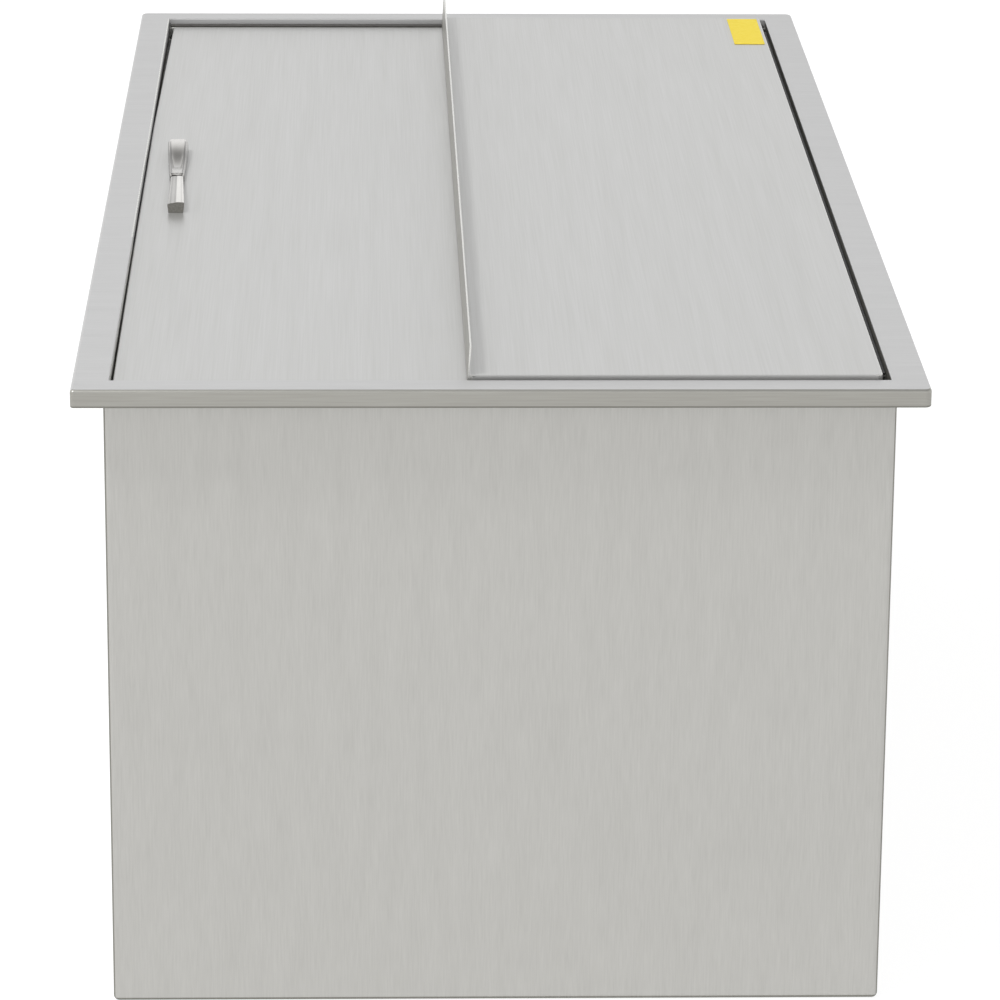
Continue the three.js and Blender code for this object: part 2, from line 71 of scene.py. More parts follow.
rim_low, rim_high = span("rim_frame")
print("rim, mm:", rim_low.round(1), rim_high.round(1))

# %% [markdown]
# ## Camera
# The photograph was taken from about three metres, well above the front, with a long
# lens. The camera's place was worked out from the rim's four corners, so its three turns
# are given as plain angles.

# %% Camera
PHOTO_LENS, PHOTO_SENSOR = 177.872, 36.0
PHOTO_PLACE = (-73.6, -2959.6, 1119.0)
PITCH, YAW, ROLL = radians(18.1636), radians(1.6698), radians(0.4532)

ahead = np.array([np.sin(YAW) * np.cos(PITCH), np.cos(YAW) * np.cos(PITCH), -np.sin(PITCH)])
level = np.array([np.cos(YAW), -np.sin(YAW), 0.0])
upright = np.cross(level, ahead)
right = np.cos(ROLL) * level + np.sin(ROLL) * upright
up = np.cos(ROLL) * upright - np.sin(ROLL) * level

lens = bpy.data.cameras.new("camera")
lens.lens, lens.sensor_width = PHOTO_LENS, PHOTO_SENSOR
lens.clip_start, lens.clip_end = 0.05, 60.0
camera = bpy.data.objects.new("camera", lens)
turned = Matrix(np.column_stack([right, up, -ahead]).tolist()).to_4x4()
camera.matrix_world = Matrix.Translation(Vector(PHOTO_PLACE) * MM) @ turned
scene.collection.objects.link(camera)
scene.camera = camera
print("camera at, m:", tuple(round(v, 3) for v in camera.matrix_world.translation))

# %% [markdown]
# ## Colours and nodes
# Colours are sRGB hex values, as picked on a screen, and shaders work with linear light.
# One function turns the one into the other. Another adds any node with its settings and
# links, which keeps each material short.

# %% Colour and node helpers


def linear(hex_colour):
    """An sRGB hex value as linear red, green, blue and full opacity."""
    srgb = np.array([int(hex_colour[i : i + 2], 16) for i in (1, 3, 5)]) / 255
    light = np.where(srgb <= 0.04045, srgb / 12.92, ((srgb + 0.055) / 1.055) ** 2.4)
    return (*light.tolist(), 1.0)


def node(tree, kind, inputs=None, **settings):
    """Adds one shader node. Settings are its own properties. Inputs go by name or number,
    and each is a value, an output, or another node, which gives its first output."""
    made = tree.nodes.new("ShaderNode" + kind)
    for name, value in settings.items():
        setattr(made, name, value)
    for name, value in (inputs or {}).items():
        if isinstance(value, bpy.types.Node):
            value = value.outputs[0]
        if isinstance(value, bpy.types.NodeSocket):
            tree.links.new(value, made.inputs[name])
        else:
            made.inputs[name].default_value = value
    return made


def blank_material(name):
    """A new material with an empty node tree."""
    material = bpy.data.materials.new(name)
    material.use_nodes = True
    material.node_tree.nodes.clear()
    return material, material.node_tree


print("steel in linear light:", [round(v, 3) for v in linear("#c9c8c5")])

# %% [markdown]
# ## Studio
# The photograph is lit from everywhere by soft white light. A world that is white at
# the horizon and much dimmer overhead gives most of it. Brushed metal shows what stands
# opposite it, so the dim ceiling draws the dark line along each folded edge. One soft
# round lamp, high up in front on the left, adds the faint shadows.

# %% World and soft light
HORIZON_GLOW, CEILING_GLOW, LEFT_GLOW = 1.0, 0.28, -0.04
# How steep a direction has to be, as its Z, where the world starts and ends to dim.
DIM_FROM, DIM_TO = 0.36, 0.95

world = bpy.data.worlds.new("studio")
scene.world = world
world.use_nodes = True
sky = world.node_tree
sky.nodes.clear()
direction = node(sky, "TexCoord").outputs["Generated"]
parts = node(sky, "SeparateXYZ", {0: direction}).outputs
dimming = {"From Min": DIM_FROM, "From Max": DIM_TO, "To Min": HORIZON_GLOW, "To Max": CEILING_GLOW}
glow = node(sky, "MapRange", {"Value": parts["Z"], **dimming}, interpolation_type="SMOOTHSTEP")
uneven = node(sky, "Math", {0: parts["X"], 1: LEFT_GLOW, 2: glow}, operation="MULTIPLY_ADD")
light = node(sky, "Background", {"Color": (1, 1, 1, 1), "Strength": uneven})
node(sky, "OutputWorld", {"Surface": light})

SOFTBOX_PLACE, SOFTBOX_SIZE, SOFTBOX_POWER = (-1.9, -1.6, 4.2), 0.9, 128.0
lamp = bpy.data.lights.new("softbox", "AREA")
lamp.shape, lamp.size, lamp.energy = "DISK", SOFTBOX_SIZE, SOFTBOX_POWER
softbox = bpy.data.objects.new("softbox", lamp)
softbox.location = SOFTBOX_PLACE
softbox.rotation_euler = softbox.location.to_track_quat("Z", "Y").to_euler()
scene.collection.objects.link(softbox)
scene.view_settings.view_transform = "Standard"
print("light: horizon", HORIZON_GLOW, "ceiling", CEILING_GLOW)

# %% [markdown]
# ## Floor
# The floor is pale and matt. To the camera it has to read as white paper, so it gives
# off light of its own for camera rays, and a little less for the rays that the steel
# reflects. The rest of its white is the studio's light, which falls off near the chest,
# and that is the soft shadow.

# %% Floor
FLOOR_REACH, FLOOR_BELOW = 12.0, 0.0002
PAPER_GLOW, PAPER_GLOW_IN_STEEL = 0.86, 0.80
PAPER_DARK, PAPER_LIGHT, FIBRE_SCALE = 0.28, 0.32, 400.0

paper, tree = blank_material("matt_white_paper")
path = node(tree, "LightPath").outputs
seen = node(tree, "Math", {0: path["Is Camera Ray"], 1: PAPER_GLOW}, operation="MULTIPLY")
rays = {0: path["Is Glossy Ray"], 1: path["Is Transmission Ray"]}
mirrored = node(tree, "Math", rays, operation="MAXIMUM")
own_light = {0: mirrored, 1: PAPER_GLOW_IN_STEEL, 2: seen}
strength = node(tree, "Math", own_light, operation="MULTIPLY_ADD")
where = node(tree, "TexCoord").outputs["Object"]
fibre = node(tree, "TexNoise", {"Vector": where, "Scale": FIBRE_SCALE})
grey = node(tree, "MapRange", {"Value": fibre, "To Min": PAPER_DARK, "To Max": PAPER_LIGHT})
matt = node(tree, "BsdfDiffuse", {"Color": grey})
own = node(tree, "Emission", {"Strength": strength})
node(tree, "OutputMaterial", {"Surface": node(tree, "AddShader", {0: matt, 1: own})})

bpy.ops.mesh.primitive_plane_add(size=2 * FLOOR_REACH, location=(0, 0, -FLOOR_BELOW))
floor = bpy.context.object
floor.name = "floor"
floor.data.materials.append(paper)
print("floor reaches, m:", FLOOR_REACH)

# %% [markdown]
# ## Steel
# Number 4 stainless steel is rolled flat and then brushed along with a grit belt. It
# gives the eye a soft grey sheen made of fine straight lines. Real grit lines are about
# 0.05 mm apart, which no pixel could show, so they are drawn 0.9 mm wide and 16 to 90 mm
# long, with a broader streak over them. The lines follow the sheet round its folds,
# because they read a map of the sheet as it lay flat.

# %% Brushed sheet
GRIT_WIDTH, GRIT_DEPTH = 0.9, 0.012
STREAK_WIDTH, STREAK_STRETCH, STREAK_SHARE = 9.0, 4.0, 0.3
NOISE_LOW, NOISE_HIGH = 0.3, 0.7
QUARTER_TURN = 0.25


def finish(tree, noise, relief, tones, glosses, bump, sheen, painted_shade=None):
    """The end of every material. The middle of a noise, spread over 0 to 1, picks a colour
    between two tones and a roughness between two glosses. The relief noise is bumped by a
    strength and a depth. A darker colour of painted shade lies where the mesh says so."""
    middle = {"Value": noise, "From Min": NOISE_LOW, "From Max": NOISE_HIGH}
    share = node(tree, "MapRange", middle)
    colours = {0: share, 6: linear(tones[0]), 7: linear(tones[1])}
    tone = node(tree, "Mix", colours, data_type="RGBA").outputs[2]
    if painted_shade:
        shade_amount = node(tree, "Attribute", attribute_name="painted_shade").outputs["Fac"]
        colours = {0: shade_amount, 6: tone, 7: linear(painted_shade)}
        tone = node(tree, "Mix", colours, data_type="RGBA").outputs[2]
    gloss = node(tree, "MapRange", {"Value": share, "To Min": glosses[0], "To Max": glosses[1]})
    bumps = node(tree, "Bump", {"Strength": bump[0], "Distance": bump[1] * MM, "Height": relief})
    look = {"Base Color": tone, "Roughness": gloss, "Normal": bumps, **sheen}
    node(tree, "OutputMaterial", {"Surface": node(tree, "BsdfPrincipled", look)})


def brushed(name, dark, light, dull, bright, length, metal=0.85, spread=0.3, grit=0.10):
    """Steel whose grit lines run along the sheet map's first direction. A fine and a broad
    stretched noise choose the tone and the gloss, and the fine one the depth."""
    material, tree = blank_material(name)
    flat = node(tree, "TexCoord").outputs["UV"]
    noises = []
    broad = length * STREAK_STRETCH
    for width, reach, detail in ((GRIT_WIDTH, length, 2.0), (STREAK_WIDTH, broad, 1.0)):
        stretch = (1 / (reach * MM), 1 / (width * MM), 1.0)
        lines = node(tree, "Mapping", {"Vector": flat, "Scale": stretch})
        noises.append(node(tree, "TexNoise", {"Vector": lines, "Scale": 1.0, "Detail": detail}))
    mixed = node(tree, "Mix", {0: STREAK_SHARE, 2: noises[0], 3: noises[1]}, data_type="FLOAT")
    along = node(tree, "Tangent", direction_type="UV_MAP", uv_map="sheet")
    sheen = {"Metallic": metal, "Anisotropic": spread, "Tangent": along}
    sheen["Anisotropic Rotation"] = QUARTER_TURN
    finish(tree, mixed, noises[0], (dark, light), (dull, bright), (grit, GRIT_DEPTH), sheen)
    return material


# The top of the rim: light and even, with hardly a streak.
rim_steel = brushed("brushed_stainless_rim", "#c2c2c2", "#c8c8c8", 0.42, 0.36, 30, 0.6, 0.1)
# The cover: smoother, with long fine lines, so that it mirrors more of the studio.
cover_steel = brushed("brushed_stainless_cover", "#bbbbb9", "#c1c1c0", 0.36, 0.31, 90, 0.6)
# The jacket: a little warmer and duller, with short upright lines close together.
jacket_steel = brushed("brushed_stainless_jacket", "#bab9b5", "#c2c1bd", 0.44, 0.38, 16, 0.78)
# The bend above the lip in front: a darker band of grey, painted shade.
bend_shade_steel = brushed("brushed_stainless_fold_painted_shade", "#a9a8a2", "#b2b1ab", 0.46, 0.40, 16)
# The lip and the upright flange's face: greyer and dull, painted shade for upright faces.
lip_shade_steel = brushed("brushed_stainless_lip_painted_shade", "#a2a09a", "#abaaa4", 0.46, 0.40, 40, spread=0.1)
# Painted shade: thin dark lines at the lip's hem and the jacket's tight outer bends, and the right wall
# of the opening.
shade_line_steel = brushed("brushed_stainless_painted_shade_line", "#84837c", "#8f8e88", 0.5, 0.44, 40)
# The near left wall of the opening: lighter and matt, painted light for a pale gap.
lit_wall_steel = brushed("brushed_stainless_wall_painted_light", "#d0d0cc", "#dcdcd8", 0.6, 0.5, 30, 0.15)
# A painted highlight: a thin line of light on edges and bends.
highlight_steel = brushed("stainless_painted_highlight", "#d6d6d2", "#dededa", 0.30, 0.25, 20)
# The tub: light, soft and clean inside.
tub_steel = brushed("brushed_stainless_tub", "#c6c6c4", "#d0d0ce", 0.40, 0.33, 30, 0.5)
# Sheet as it leaves the mill: flat grey, for what is hidden.
mill_steel = brushed("mill_stainless", "#9f9f9b", "#acaca9", 0.52, 0.44, 30, grit=0.06)
print("steels:", [m.name for m in bpy.data.materials if "stainless" in m.name])

# %% [markdown]
# ## Plain materials
# The other materials have no grain direction, so they read Object coordinates. Each
# mottles a colour with noise, in spots about one grain across, in millimetres.

# %% Mottled materials
SPOT_BUMP = 0.5


def mottled(
    name, dark, light, grain, dull, bright, depth, metal=0.0, stretch=(1, 1, 1), shine=0.5, painted_shade=None
):
    """A material whose one noise, in spots one grain across, chooses the tone, the gloss
    and the depth."""
    material, tree = blank_material(name)
    place = node(tree, "TexCoord").outputs["Object"]
    scale = tuple(1 / (grain * MM * s) for s in stretch)
    where = node(tree, "Mapping", {"Vector": place, "Scale": scale})
    spots = node(tree, "TexNoise", {"Vector": where, "Scale": 1.0, "Detail": 4.0})
    sheen = {"Metallic": metal, "Specular IOR Level": shine}
    finish(tree, spots, spots, (dark, light), (dull, bright), (SPOT_BUMP, depth), sheen, painted_shade)
    return material


# Cut foam board: dull cream with open cells.
foam = mottled("cut_polyurethane_foam", "#ddd2a0", "#ece3ba", 0.9, 0.98, 0.9, 0.4)
# Sawn strips of polyethylene: black with drag marks, and greyer where the cover rubs.
sawn = (1.2, 0.6, 0.45, 0.03, 0.0, (4, 1, 1))
glide_plastic = mottled("sawn_black_polyethylene", "#131314", "#1e1e1f", *sawn)
worn_plastic = mottled("worn_black_polyethylene", "#3a3835", "#494743", *sawn)
# Moulded rubber: a dull skin that shows no highlight.
gasket_rubber = mottled("moulded_rubber", "#232323", "#2f2f2f", 1.5, 0.95, 0.8, 0.03)
# Printed film: an even yellow with a faint orange peel.
label_film = mottled("printed_vinyl_film", "#ecd226", "#f0d82e", 2.5, 0.5, 0.42, 0.002, shine=0.15)
# Satin nickel: nearly a mirror, with a trace of the mop along it, and darker places of painted shade and
# painted reflection.
handle_plate = mottled(
    "satin_nickel_plate", "#dddbd7", "#e4e2de", 3.0, 0.17, 0.13, 0.0005, 1.0, (1, 6, 1), painted_shade="#3f3d3a"
)
# The handle's two end faces: rough grey cast zinc, painted darker as shade.
handle_end_shade = mottled("cast_zinc_painted_shade", "#7f7d78", "#96948f", 1.0, 0.42, 0.34, 0.02, 1.0)
# Turned fittings: bright, with fine rings from the tool.
turned_steel = mottled("turned_stainless", "#b4b4b0", "#c2c2bf", 0.8, 0.38, 0.28, 0.01, 1.0, (1, 1, 0.2))
print("materials so far:", len(bpy.data.materials))

# %% [markdown]
# ## Folded profiles
# Nearly every piece here is sheet metal, and a fold in sheet metal is an arc that
# touches both its flats. A profile is therefore drawn with sharp corners, and one
# function rounds them. It also leaves one more point just past each arc, so that the
# flats still shade flat when the surface is smooth.

# %% Rounded profiles
ARC_STEPS = 6
EASE = 0.3


def unit(vectors):
    """Each vector divided by its own length."""
    return vectors / np.linalg.norm(vectors, axis=-1, keepdims=True)


def folded(corners, radii, closed=True):
    """A profile with round corners. With a and b the unit vectors from a corner to its
    neighbours and w the angle between them, the arc of radius r touches both sides at
    r / tan(w / 2) from the corner, and its middle lies at r / sin(w / 2) along a + b."""
    corners = np.array(corners, float)
    radii = np.array(radii, float)[:, None]
    back = np.roll(corners, 1, axis=0) - corners
    onward = np.roll(corners, -1, axis=0) - corners
    a, b = unit(back), unit(onward)
    angle = np.arccos(np.clip((a * b).sum(1), -1, 1))[:, None]
    reach = radii / np.tan(angle / 2)
    middle = corners + unit(a + b) * radii / np.sin(angle / 2)
    start, end = corners + a * reach - middle, corners + b * reach - middle
    sweep = (pi - angle)[:, :, None]
    share = np.linspace(0, 1, ARC_STEPS + 1)[None, :, None]
    arc = start[:, None] * np.sin((1 - share) * sweep) + end[:, None] * np.sin(share * sweep)
    arc = middle[:, None] + arc / np.sin(sweep)
    free_back = np.linalg.norm(back, axis=1, keepdims=True) - reach - np.roll(reach, 1, axis=0)
    free_on = np.linalg.norm(onward, axis=1, keepdims=True) - reach - np.roll(reach, -1, axis=0)
    before = corners + a * (reach + np.minimum(EASE, 0.3 * free_back))
    after = corners + b * (reach + np.minimum(EASE, 0.3 * free_on))
    points = np.concatenate([before[:, None], arc, after[:, None]], axis=1)
    if closed:
        return points.reshape(-1, 2)
    inside = points[1:-1].reshape(-1, 2)
    return np.concatenate([corners[:1], inside, corners[-1:]])


def sheet_outline(path):
    """The outline of a sheet folded square: out along the path, and back one thickness to
    the right of it."""
    path = np.array(path, float)
    along = unit(np.diff(path, axis=0))
    across = SHEET * np.stack([along[:, 1], -along[:, 0]], -1)
    shift = np.zeros_like(path)
    shift[:-1] += across
    shift[1:] += across
    return np.concatenate([path, (path + shift)[::-1]])


def rectangle(x0, z0, x1, z1):
    """The corners of a rectangle, from one corner round to the next."""
    return [(x0, z0), (x1, z0), (x1, z1), (x0, z1)]


print("points in a folded square:", len(folded(rectangle(0, 0, 9, 9), [1] * 4)))

# %% [markdown]
# ## Rings
# A rim, a lid and a tub are all the same idea: a profile carried round a rectangle with
# round corners. Each point of the profile becomes one such rectangle, and all of them
# are worked out at once as one array of rows and columns.

# %% Rounded rectangles
CORNER_STEPS = 8
SIDE_STEPS = 2
QUARTER_SIGNS = np.array([(1, 1), (-1, 1), (-1, -1), (1, -1)])


def rings(half_x, half_y, corner, z, middle_x=0.0, ease=EASE, side_steps=SIDE_STEPS):
    """Rows of rounded rectangles, as an array (rows, columns, 3). In quarter q the
    corner's arc is corner * (cos t, sin t) with t from 90 q to 90 (q + 1) degrees,
    about a middle that lies one corner radius in from both sides. Straight sides get
    evenly spaced points in between. Any size may be one number or one for each row, and
    the corner also four for each row."""
    rows = len(z)
    sizes = (np.broadcast_to(v, rows)[:, None, None] for v in (half_x, half_y, middle_x, z))
    half_x, half_y, middle_x, z = sizes
    corner = np.broadcast_to(np.transpose(corner), (4, rows)).T[:, :, None]
    share = np.r_[0, np.linspace(0, 1, CORNER_STEPS + 1), 1]
    nudge = np.r_[-ease, np.zeros(CORNER_STEPS + 1), ease]
    t = (np.arange(4)[:, None] + share) * pi / 2
    sign_x, sign_y = QUARTER_SIGNS[:, :1], QUARTER_SIGNS[:, 1:]
    x = middle_x + sign_x * (half_x - corner) + corner * np.cos(t) - nudge * np.sin(t)
    y = sign_y * (half_y - corner) + corner * np.sin(t) + nudge * np.cos(t)
    points = np.stack(np.broadcast_arrays(x, y, z), -1)
    here, there = points[:, :, -1:], np.roll(points, -1, axis=1)[:, :, :1]
    between = np.linspace(0, 1, side_steps + 2)[1:-1, None]
    sides = here + (there - here) * between
    return np.concatenate([points, sides], axis=2).reshape(rows, -1, 3)


print("points in one ring:", rings([10], [20], 3, [0]).shape[1])

# %% [markdown]
# ## From arrays to pieces
# A grid of points turns into four-cornered faces between neighbours. Its columns always
# loop, and its rows either loop too or are closed by a flat face at each end. Several
# such skins make one piece, for example a lid and its flange. The last step turns the
# faces outward and hands the piece to its body.

# %% Pieces


def midway(values, axis=None):
    """For each row the mean of its value and the next row's: where its faces lie. With
    axis 1 it is the mean of neighbours within a row."""
    return (values + np.roll(values, -1, axis)) / 2


def skin(points, loop_rows=False, flat=None, paint=0, end_paint=0):
    """One closed skin of a grid (rows, columns, 3): its points, its faces, each point's
    place on the flat sheet, and each face's material. The paint is one number, or a grid
    of them for the faces after each point."""
    rows, columns = points.shape[:2]
    r = np.arange(rows if loop_rows else rows - 1)[:, None]
    c = np.arange(columns)
    low, high = r * columns, ((r + 1) % rows) * columns
    onward = (c + 1) % columns
    quads = np.stack([low + c, low + onward, high + onward, high + c], -1)
    faces = quads.reshape(-1, 4).tolist()
    paints = np.broadcast_to(np.asarray(paint), (rows, columns))[: len(r)].ravel().tolist()
    if not loop_rows:
        faces += [c[::-1].tolist(), ((rows - 1) * columns + c).tolist()]
        paints += [end_paint, end_paint]
    if flat is None:
        flat = points[..., :2]
    return points.reshape(-1, 3), faces, np.asarray(flat, float).reshape(-1, 2), paints


def make_piece(
    name, skins, materials, stands_for, body="chest", crease=38, painted_shade=None
):
    """Joins the skins in one mesh, turns its faces outward, and lets it ride on its
    body in place of the CAD nodes that it stands for."""
    starts = np.cumsum([0] + [len(s[0]) for s in skins])
    points = np.concatenate([s[0] for s in skins]) * MM
    faces = [[int(start) + i for i in face] for s, start in zip(skins, starts) for face in s[1]]
    flat = np.concatenate([s[2] for s in skins]) * MM
    paints = sum((s[3] for s in skins), [])
    mesh = bpy.data.meshes.new(name)
    mesh.from_pydata(points.tolist(), [], faces)
    for material in materials:
        mesh.materials.append(material)
    mesh.polygons.foreach_set("material_index", paints)
    corners = np.empty(len(mesh.loops), dtype=np.int32)
    mesh.loops.foreach_get("vertex_index", corners)
    mesh.uv_layers.new(name="sheet").data.foreach_set("uv", flat[corners].ravel())
    # The handle's painted shade: a share for each point.
    if painted_shade is not None:
        mesh.attributes.new("painted_shade", "FLOAT", "POINT").data.foreach_set("value", painted_shade.ravel())
    work = bmesh.new()
    work.from_mesh(mesh)
    bmesh.ops.recalc_face_normals(work, faces=work.faces)
    volume = work.calc_volume(signed=True) / MM**3
    work.to_mesh(mesh)
    work.free()
    mesh.shade_smooth()
    mesh.set_sharp_from_angle(angle=radians(crease))
    piece = bpy.data.objects.new(name, mesh)
    scene.collection.objects.link(piece)
    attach(piece, body)
    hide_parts(*stands_for)
    print(f"{name}: {len(mesh.polygons)} faces, {volume / 1000:.2f} cm3")
    return piece


# %% [markdown]
# ## Rim frame
# The rim is what shows when the chest hangs in its counter. One sheet is folded down
# outside into a lip with a return under it, and down inside into the opening. It could
# be a beveled solid, but a folded profile carried round as rings gives each fold its
# own radius. Each face is painted with one of six steels: the top; the lip, greyer as
# painted shade; a line of painted shade at its hem; a painted highlight along the left
# edge of the opening; its wall, with painted light at the near left and painted shade
# on the right; and in front a band of painted shade on the bend over the lip.

# %% Rim frame
LIP_RETURN, LIP_HEIGHT = 6.0, 10.0
SIDE_RAIL, END_RAIL = 19.8, 18.9
rim_x, rim_y, rim_top = rim_high
lip_foot, drop_foot = rim_top - LIP_HEIGHT, rim_low[2]

rim_path = [(LIP_RETURN, lip_foot), (0, lip_foot), (0, rim_top)]
rim_path += [(SIDE_RAIL, rim_top), (SIDE_RAIL, drop_foot)]
# The first corner goes last, so that the first row lies on the lip's outside.
rim_corners = np.roll(sheet_outline(rim_path), -1, axis=0)
rim_radii = [0.9, 1.5, 0.6, 0.2, 0.2, 0.3, 0.2, 0.3, 0.2, 0.2]
inset, level_z = folded(rim_corners, rim_radii).T
# The end rails are narrower, and the difference grows over this stretch of their top.
RAIL_BLEND, BLEND_LENGTH = 7.0, 8.0
inset_y = inset - (SIDE_RAIL - END_RAIL) * np.clip((inset - RAIL_BLEND) / BLEND_LENGTH, 0, 1)
RIM_CORNERS, LEAST_CORNER, OPENING_CORNER = np.array([4.5, 4.5, 2.0, 3.6]), 1.0, 0.8
shrink = np.interp(inset, [0, 1, 4, SIDE_RAIL - SHEET, SIDE_RAIL], [0, 1, 4, 3, 4])
least = np.where(inset > SIDE_RAIL - SHEET / 2, OPENING_CORNER, LEAST_CORNER)
corner = np.maximum(RIM_CORNERS - shrink[:, None], least[:, None])
fall = (rim_top - level_z) * np.where(inset < SIDE_RAIL / 2, 1, -1)
rim_points = rings(rim_x - inset, rim_y - inset_y, corner, level_z)
rim_flat = rings(rim_x - inset + fall, rim_y - inset_y + fall, corner, level_z)[..., :2]
face_inset, face_z = midway(inset), midway(level_z)
# How far the painted shade at the hem and on the front bend and the painted highlight
# along the edge (across, down) reach, and how far from a corner the last two stop.
HEM_REACH, BEND_REACH, EDGE_WIDTH, EDGE_DEPTH, CORNER_REACH = 1.1, 1.55, 0.9, 0.6, 4.0
TOP_EASE, WALL_EASE = 0.02, 0.1
on_lip = (face_inset < LIP_RETURN + 1) & (face_z < rim_top - TOP_EASE)
on_hem = on_lip & (face_z < lip_foot + HEM_REACH)
on_bend = on_lip & (face_z > rim_top - BEND_REACH)
on_fold = (face_inset > SIDE_RAIL - EDGE_WIDTH) & (face_z > rim_top - EDGE_DEPTH)
on_wall = (face_inset > SIDE_RAIL - WALL_EASE) & (face_z < rim_top - EDGE_DEPTH)
side_x, side_y = midway(rim_points[0, :, 0]), midway(rim_points[0, :, 1])
long_side = np.abs(side_y) < rim_y - CORNER_REACH
left_side, right_side = long_side & (side_x < 0), long_side & (side_x > 0)
near_left = left_side & (side_y < -rim_y / 4)
# Painted shade on the lip, its hem and the front bend. Below: a painted highlight along the left edge,
# painted light on the near left wall, painted shade on the right wall.
paint_of_row = np.select([on_hem, on_bend, on_lip], [2, 4, 1], 0)[:, None]
rim_paint = np.where(on_fold[:, None] & left_side & ~near_left, 3, paint_of_row)
rim_paint = np.where(on_wall[:, None] & near_left, 5, rim_paint)
rim_paint = np.where(on_wall[:, None] & right_side, 2, rim_paint)
front_side = midway(rim_points[..., 1], axis=1) < CORNER_REACH - rim_y
rim_paint = np.where(on_bend[:, None] & ~front_side, 0, rim_paint)
rim_steels = [rim_steel, lip_shade_steel, shade_line_steel, highlight_steel, bend_shade_steel, lit_wall_steel]
make_piece("rim", [skin(rim_points, True, rim_flat, rim_paint)], rim_steels, ["rim_frame"])

# %% [markdown]
# ## Jacket
# The jacket is the box seen below the rim. Its front and rear sheets are folded round
# both corners and under the floor, and the side sheets butt against them 17 mm back, so
# a fine seam runs up each side. A folded profile is carried along the path round the
# front, and the rear sheet is the same one turned about. The tight bends catch less
# light, so a thin dark line is painted down each front corner and along the foot.

# %% Jacket
JACKET_BEND, PANEL_RETURN, SEAM = 3.0, 14.0, 0.3
fold = JACKET_BEND + PANEL_RETURN
jacket_low, jacket_high = span("jacket_front_panel")
jacket_x, jacket_y, jacket_top = jacket_high[0], -jacket_low[1], jacket_high[2]
seam_x, seam_y = jacket_x - fold, jacket_y - fold


def jacket_profile(reach):
    """The folded wall as (distance inward, height): under the floor, round the bend
    and up, with its own thickness."""
    corners = sheet_outline([(reach, 0), (0, 0), (0, jacket_top)])
    return folded(corners, [0.2, JACKET_BEND, 0.2, 0.2, JACKET_BEND - SHEET, 0.2]).T


inward, wall_z = jacket_profile(fold - 0.1)
wall_corner = np.maximum(JACKET_BEND + 0.4 - inward, 0.02)
loop = rings(jacket_x - inward, jacket_y - inward, wall_corner, wall_z, ease=0.05)
half = loop.shape[1] // 2
wrap = loop[:, half : 2 * half - SIDE_STEPS]
wrap = wrap[:, np.r_[0, 0 : wrap.shape[1], -1]]
wrap[:, [0, -1], 1] = -seam_y
outer = wrap[np.argmax(wall_z)]
steps = np.r_[0, np.cumsum(np.linalg.norm(np.diff(outer, axis=0), axis=1))]
rise = np.where(wall_z < JACKET_BEND, wall_z - inward, wall_z)
wrap_flat = np.stack(np.broadcast_arrays(rise[:, None], steps - steps[-1] / 2), -1)
across, along = wrap.transpose(1, 0, 2), wrap_flat.transpose(1, 0, 2)
SIDE_LINE, FOOT_LINE = 1.0, 2.25
top_x, top_y = midway(outer[:, 0]), midway(outer[:, 1])
side_line = (jacket_x - np.abs(top_x) < SIDE_LINE) & (np.abs(top_y) > jacket_y - JACKET_BEND)
foot_line = (midway(wall_z) < FOOT_LINE) & (midway(inward) < JACKET_BEND)
line_paint = (side_line[:, None] | foot_line).astype(int)
for side, turn in (("front", 1), ("rear", -1)):
    sheet = skin(across * (turn, turn, 1), flat=along, paint=line_paint)
    make_piece(f"jacket_{side}", [sheet], [jacket_steel, shade_line_steel], [f"jacket_{side}_panel"])

# %% [markdown]
# The side sheets are plain folded strips, so their profile is run straight along the
# chest. The same helper will make every other strip: tracks, ledges and stiffeners.

# %% Strips and side sheets


def strip_along_y(profile, y0, y1, grain_along=True, paint=0, end_paint=0):
    """A closed profile of (x, z) points run from y0 to y1. Its flat sheet is the way
    along it and the way round the profile."""
    stations = np.array([y0, y1], float)[:, None]
    points = np.stack(np.broadcast_arrays(profile[:, 0], stations, profile[:, 1]), -1)
    way = np.r_[0, np.cumsum(np.linalg.norm(np.diff(profile, axis=0), axis=1))]
    flat = np.stack(np.broadcast_arrays(stations, way)[:: 1 if grain_along else -1], -1)
    return skin(points, flat=flat, paint=paint, end_paint=end_paint)


inward, wall_z = jacket_profile(fold)
for side, sign in (("left", -1), ("right", 1)):
    profile = np.stack([sign * (jacket_x - inward), wall_z], -1)
    sheet = strip_along_y(profile, SEAM - seam_y, seam_y - SEAM, grain_along=False)
    make_piece(f"jacket_{side}", [sheet], [jacket_steel], [f"jacket_{side}_panel"])

# %% [markdown]
# The floor sheet has a round hole for the drain. To go from a rectangle to a circle,
# each point of the outer ring is paired with the point of the circle in its own
# direction, and the faces run straight between the two.

# %% Floor sheet
WELL_RADIUS = 33.0
HOLE_SIDE_STEPS = 14


def hole_like(ring, radius, half_x, half_y, z):
    """A circle with one point for each point of a ring, in that point's direction once
    the rectangle is squeezed to a square."""
    angle = np.arctan2(ring[:, 1] / half_y, ring[:, 0] / half_x)
    return np.stack([radius * np.cos(angle), radius * np.sin(angle), np.full(len(ring), z)], -1)


floor_x, floor_y = seam_x - SEAM, seam_y - SEAM
edge = rings([floor_x] * 2, [floor_y] * 2, 0.3, [0, SHEET], side_steps=HOLE_SIDE_STEPS)
low_hole = hole_like(edge[0], WELL_RADIUS, floor_x, floor_y, 0)
floor_rows = np.stack([edge[0], low_hole, low_hole + (0, 0, SHEET), edge[1]])
floor_sheet = skin(floor_rows, True)
make_piece("jacket_floor", [floor_sheet], [mill_steel], ["jacket_bottom_panel"])

# %% [markdown]
# ## Tub
# The tub holds the ice. Its corners and its foot are wide coves, so that it can be
# wiped clean, and its flange hangs over the insulation. The rows go from the drain hole
# over the floor, up the wall, over the flange and back down outside.

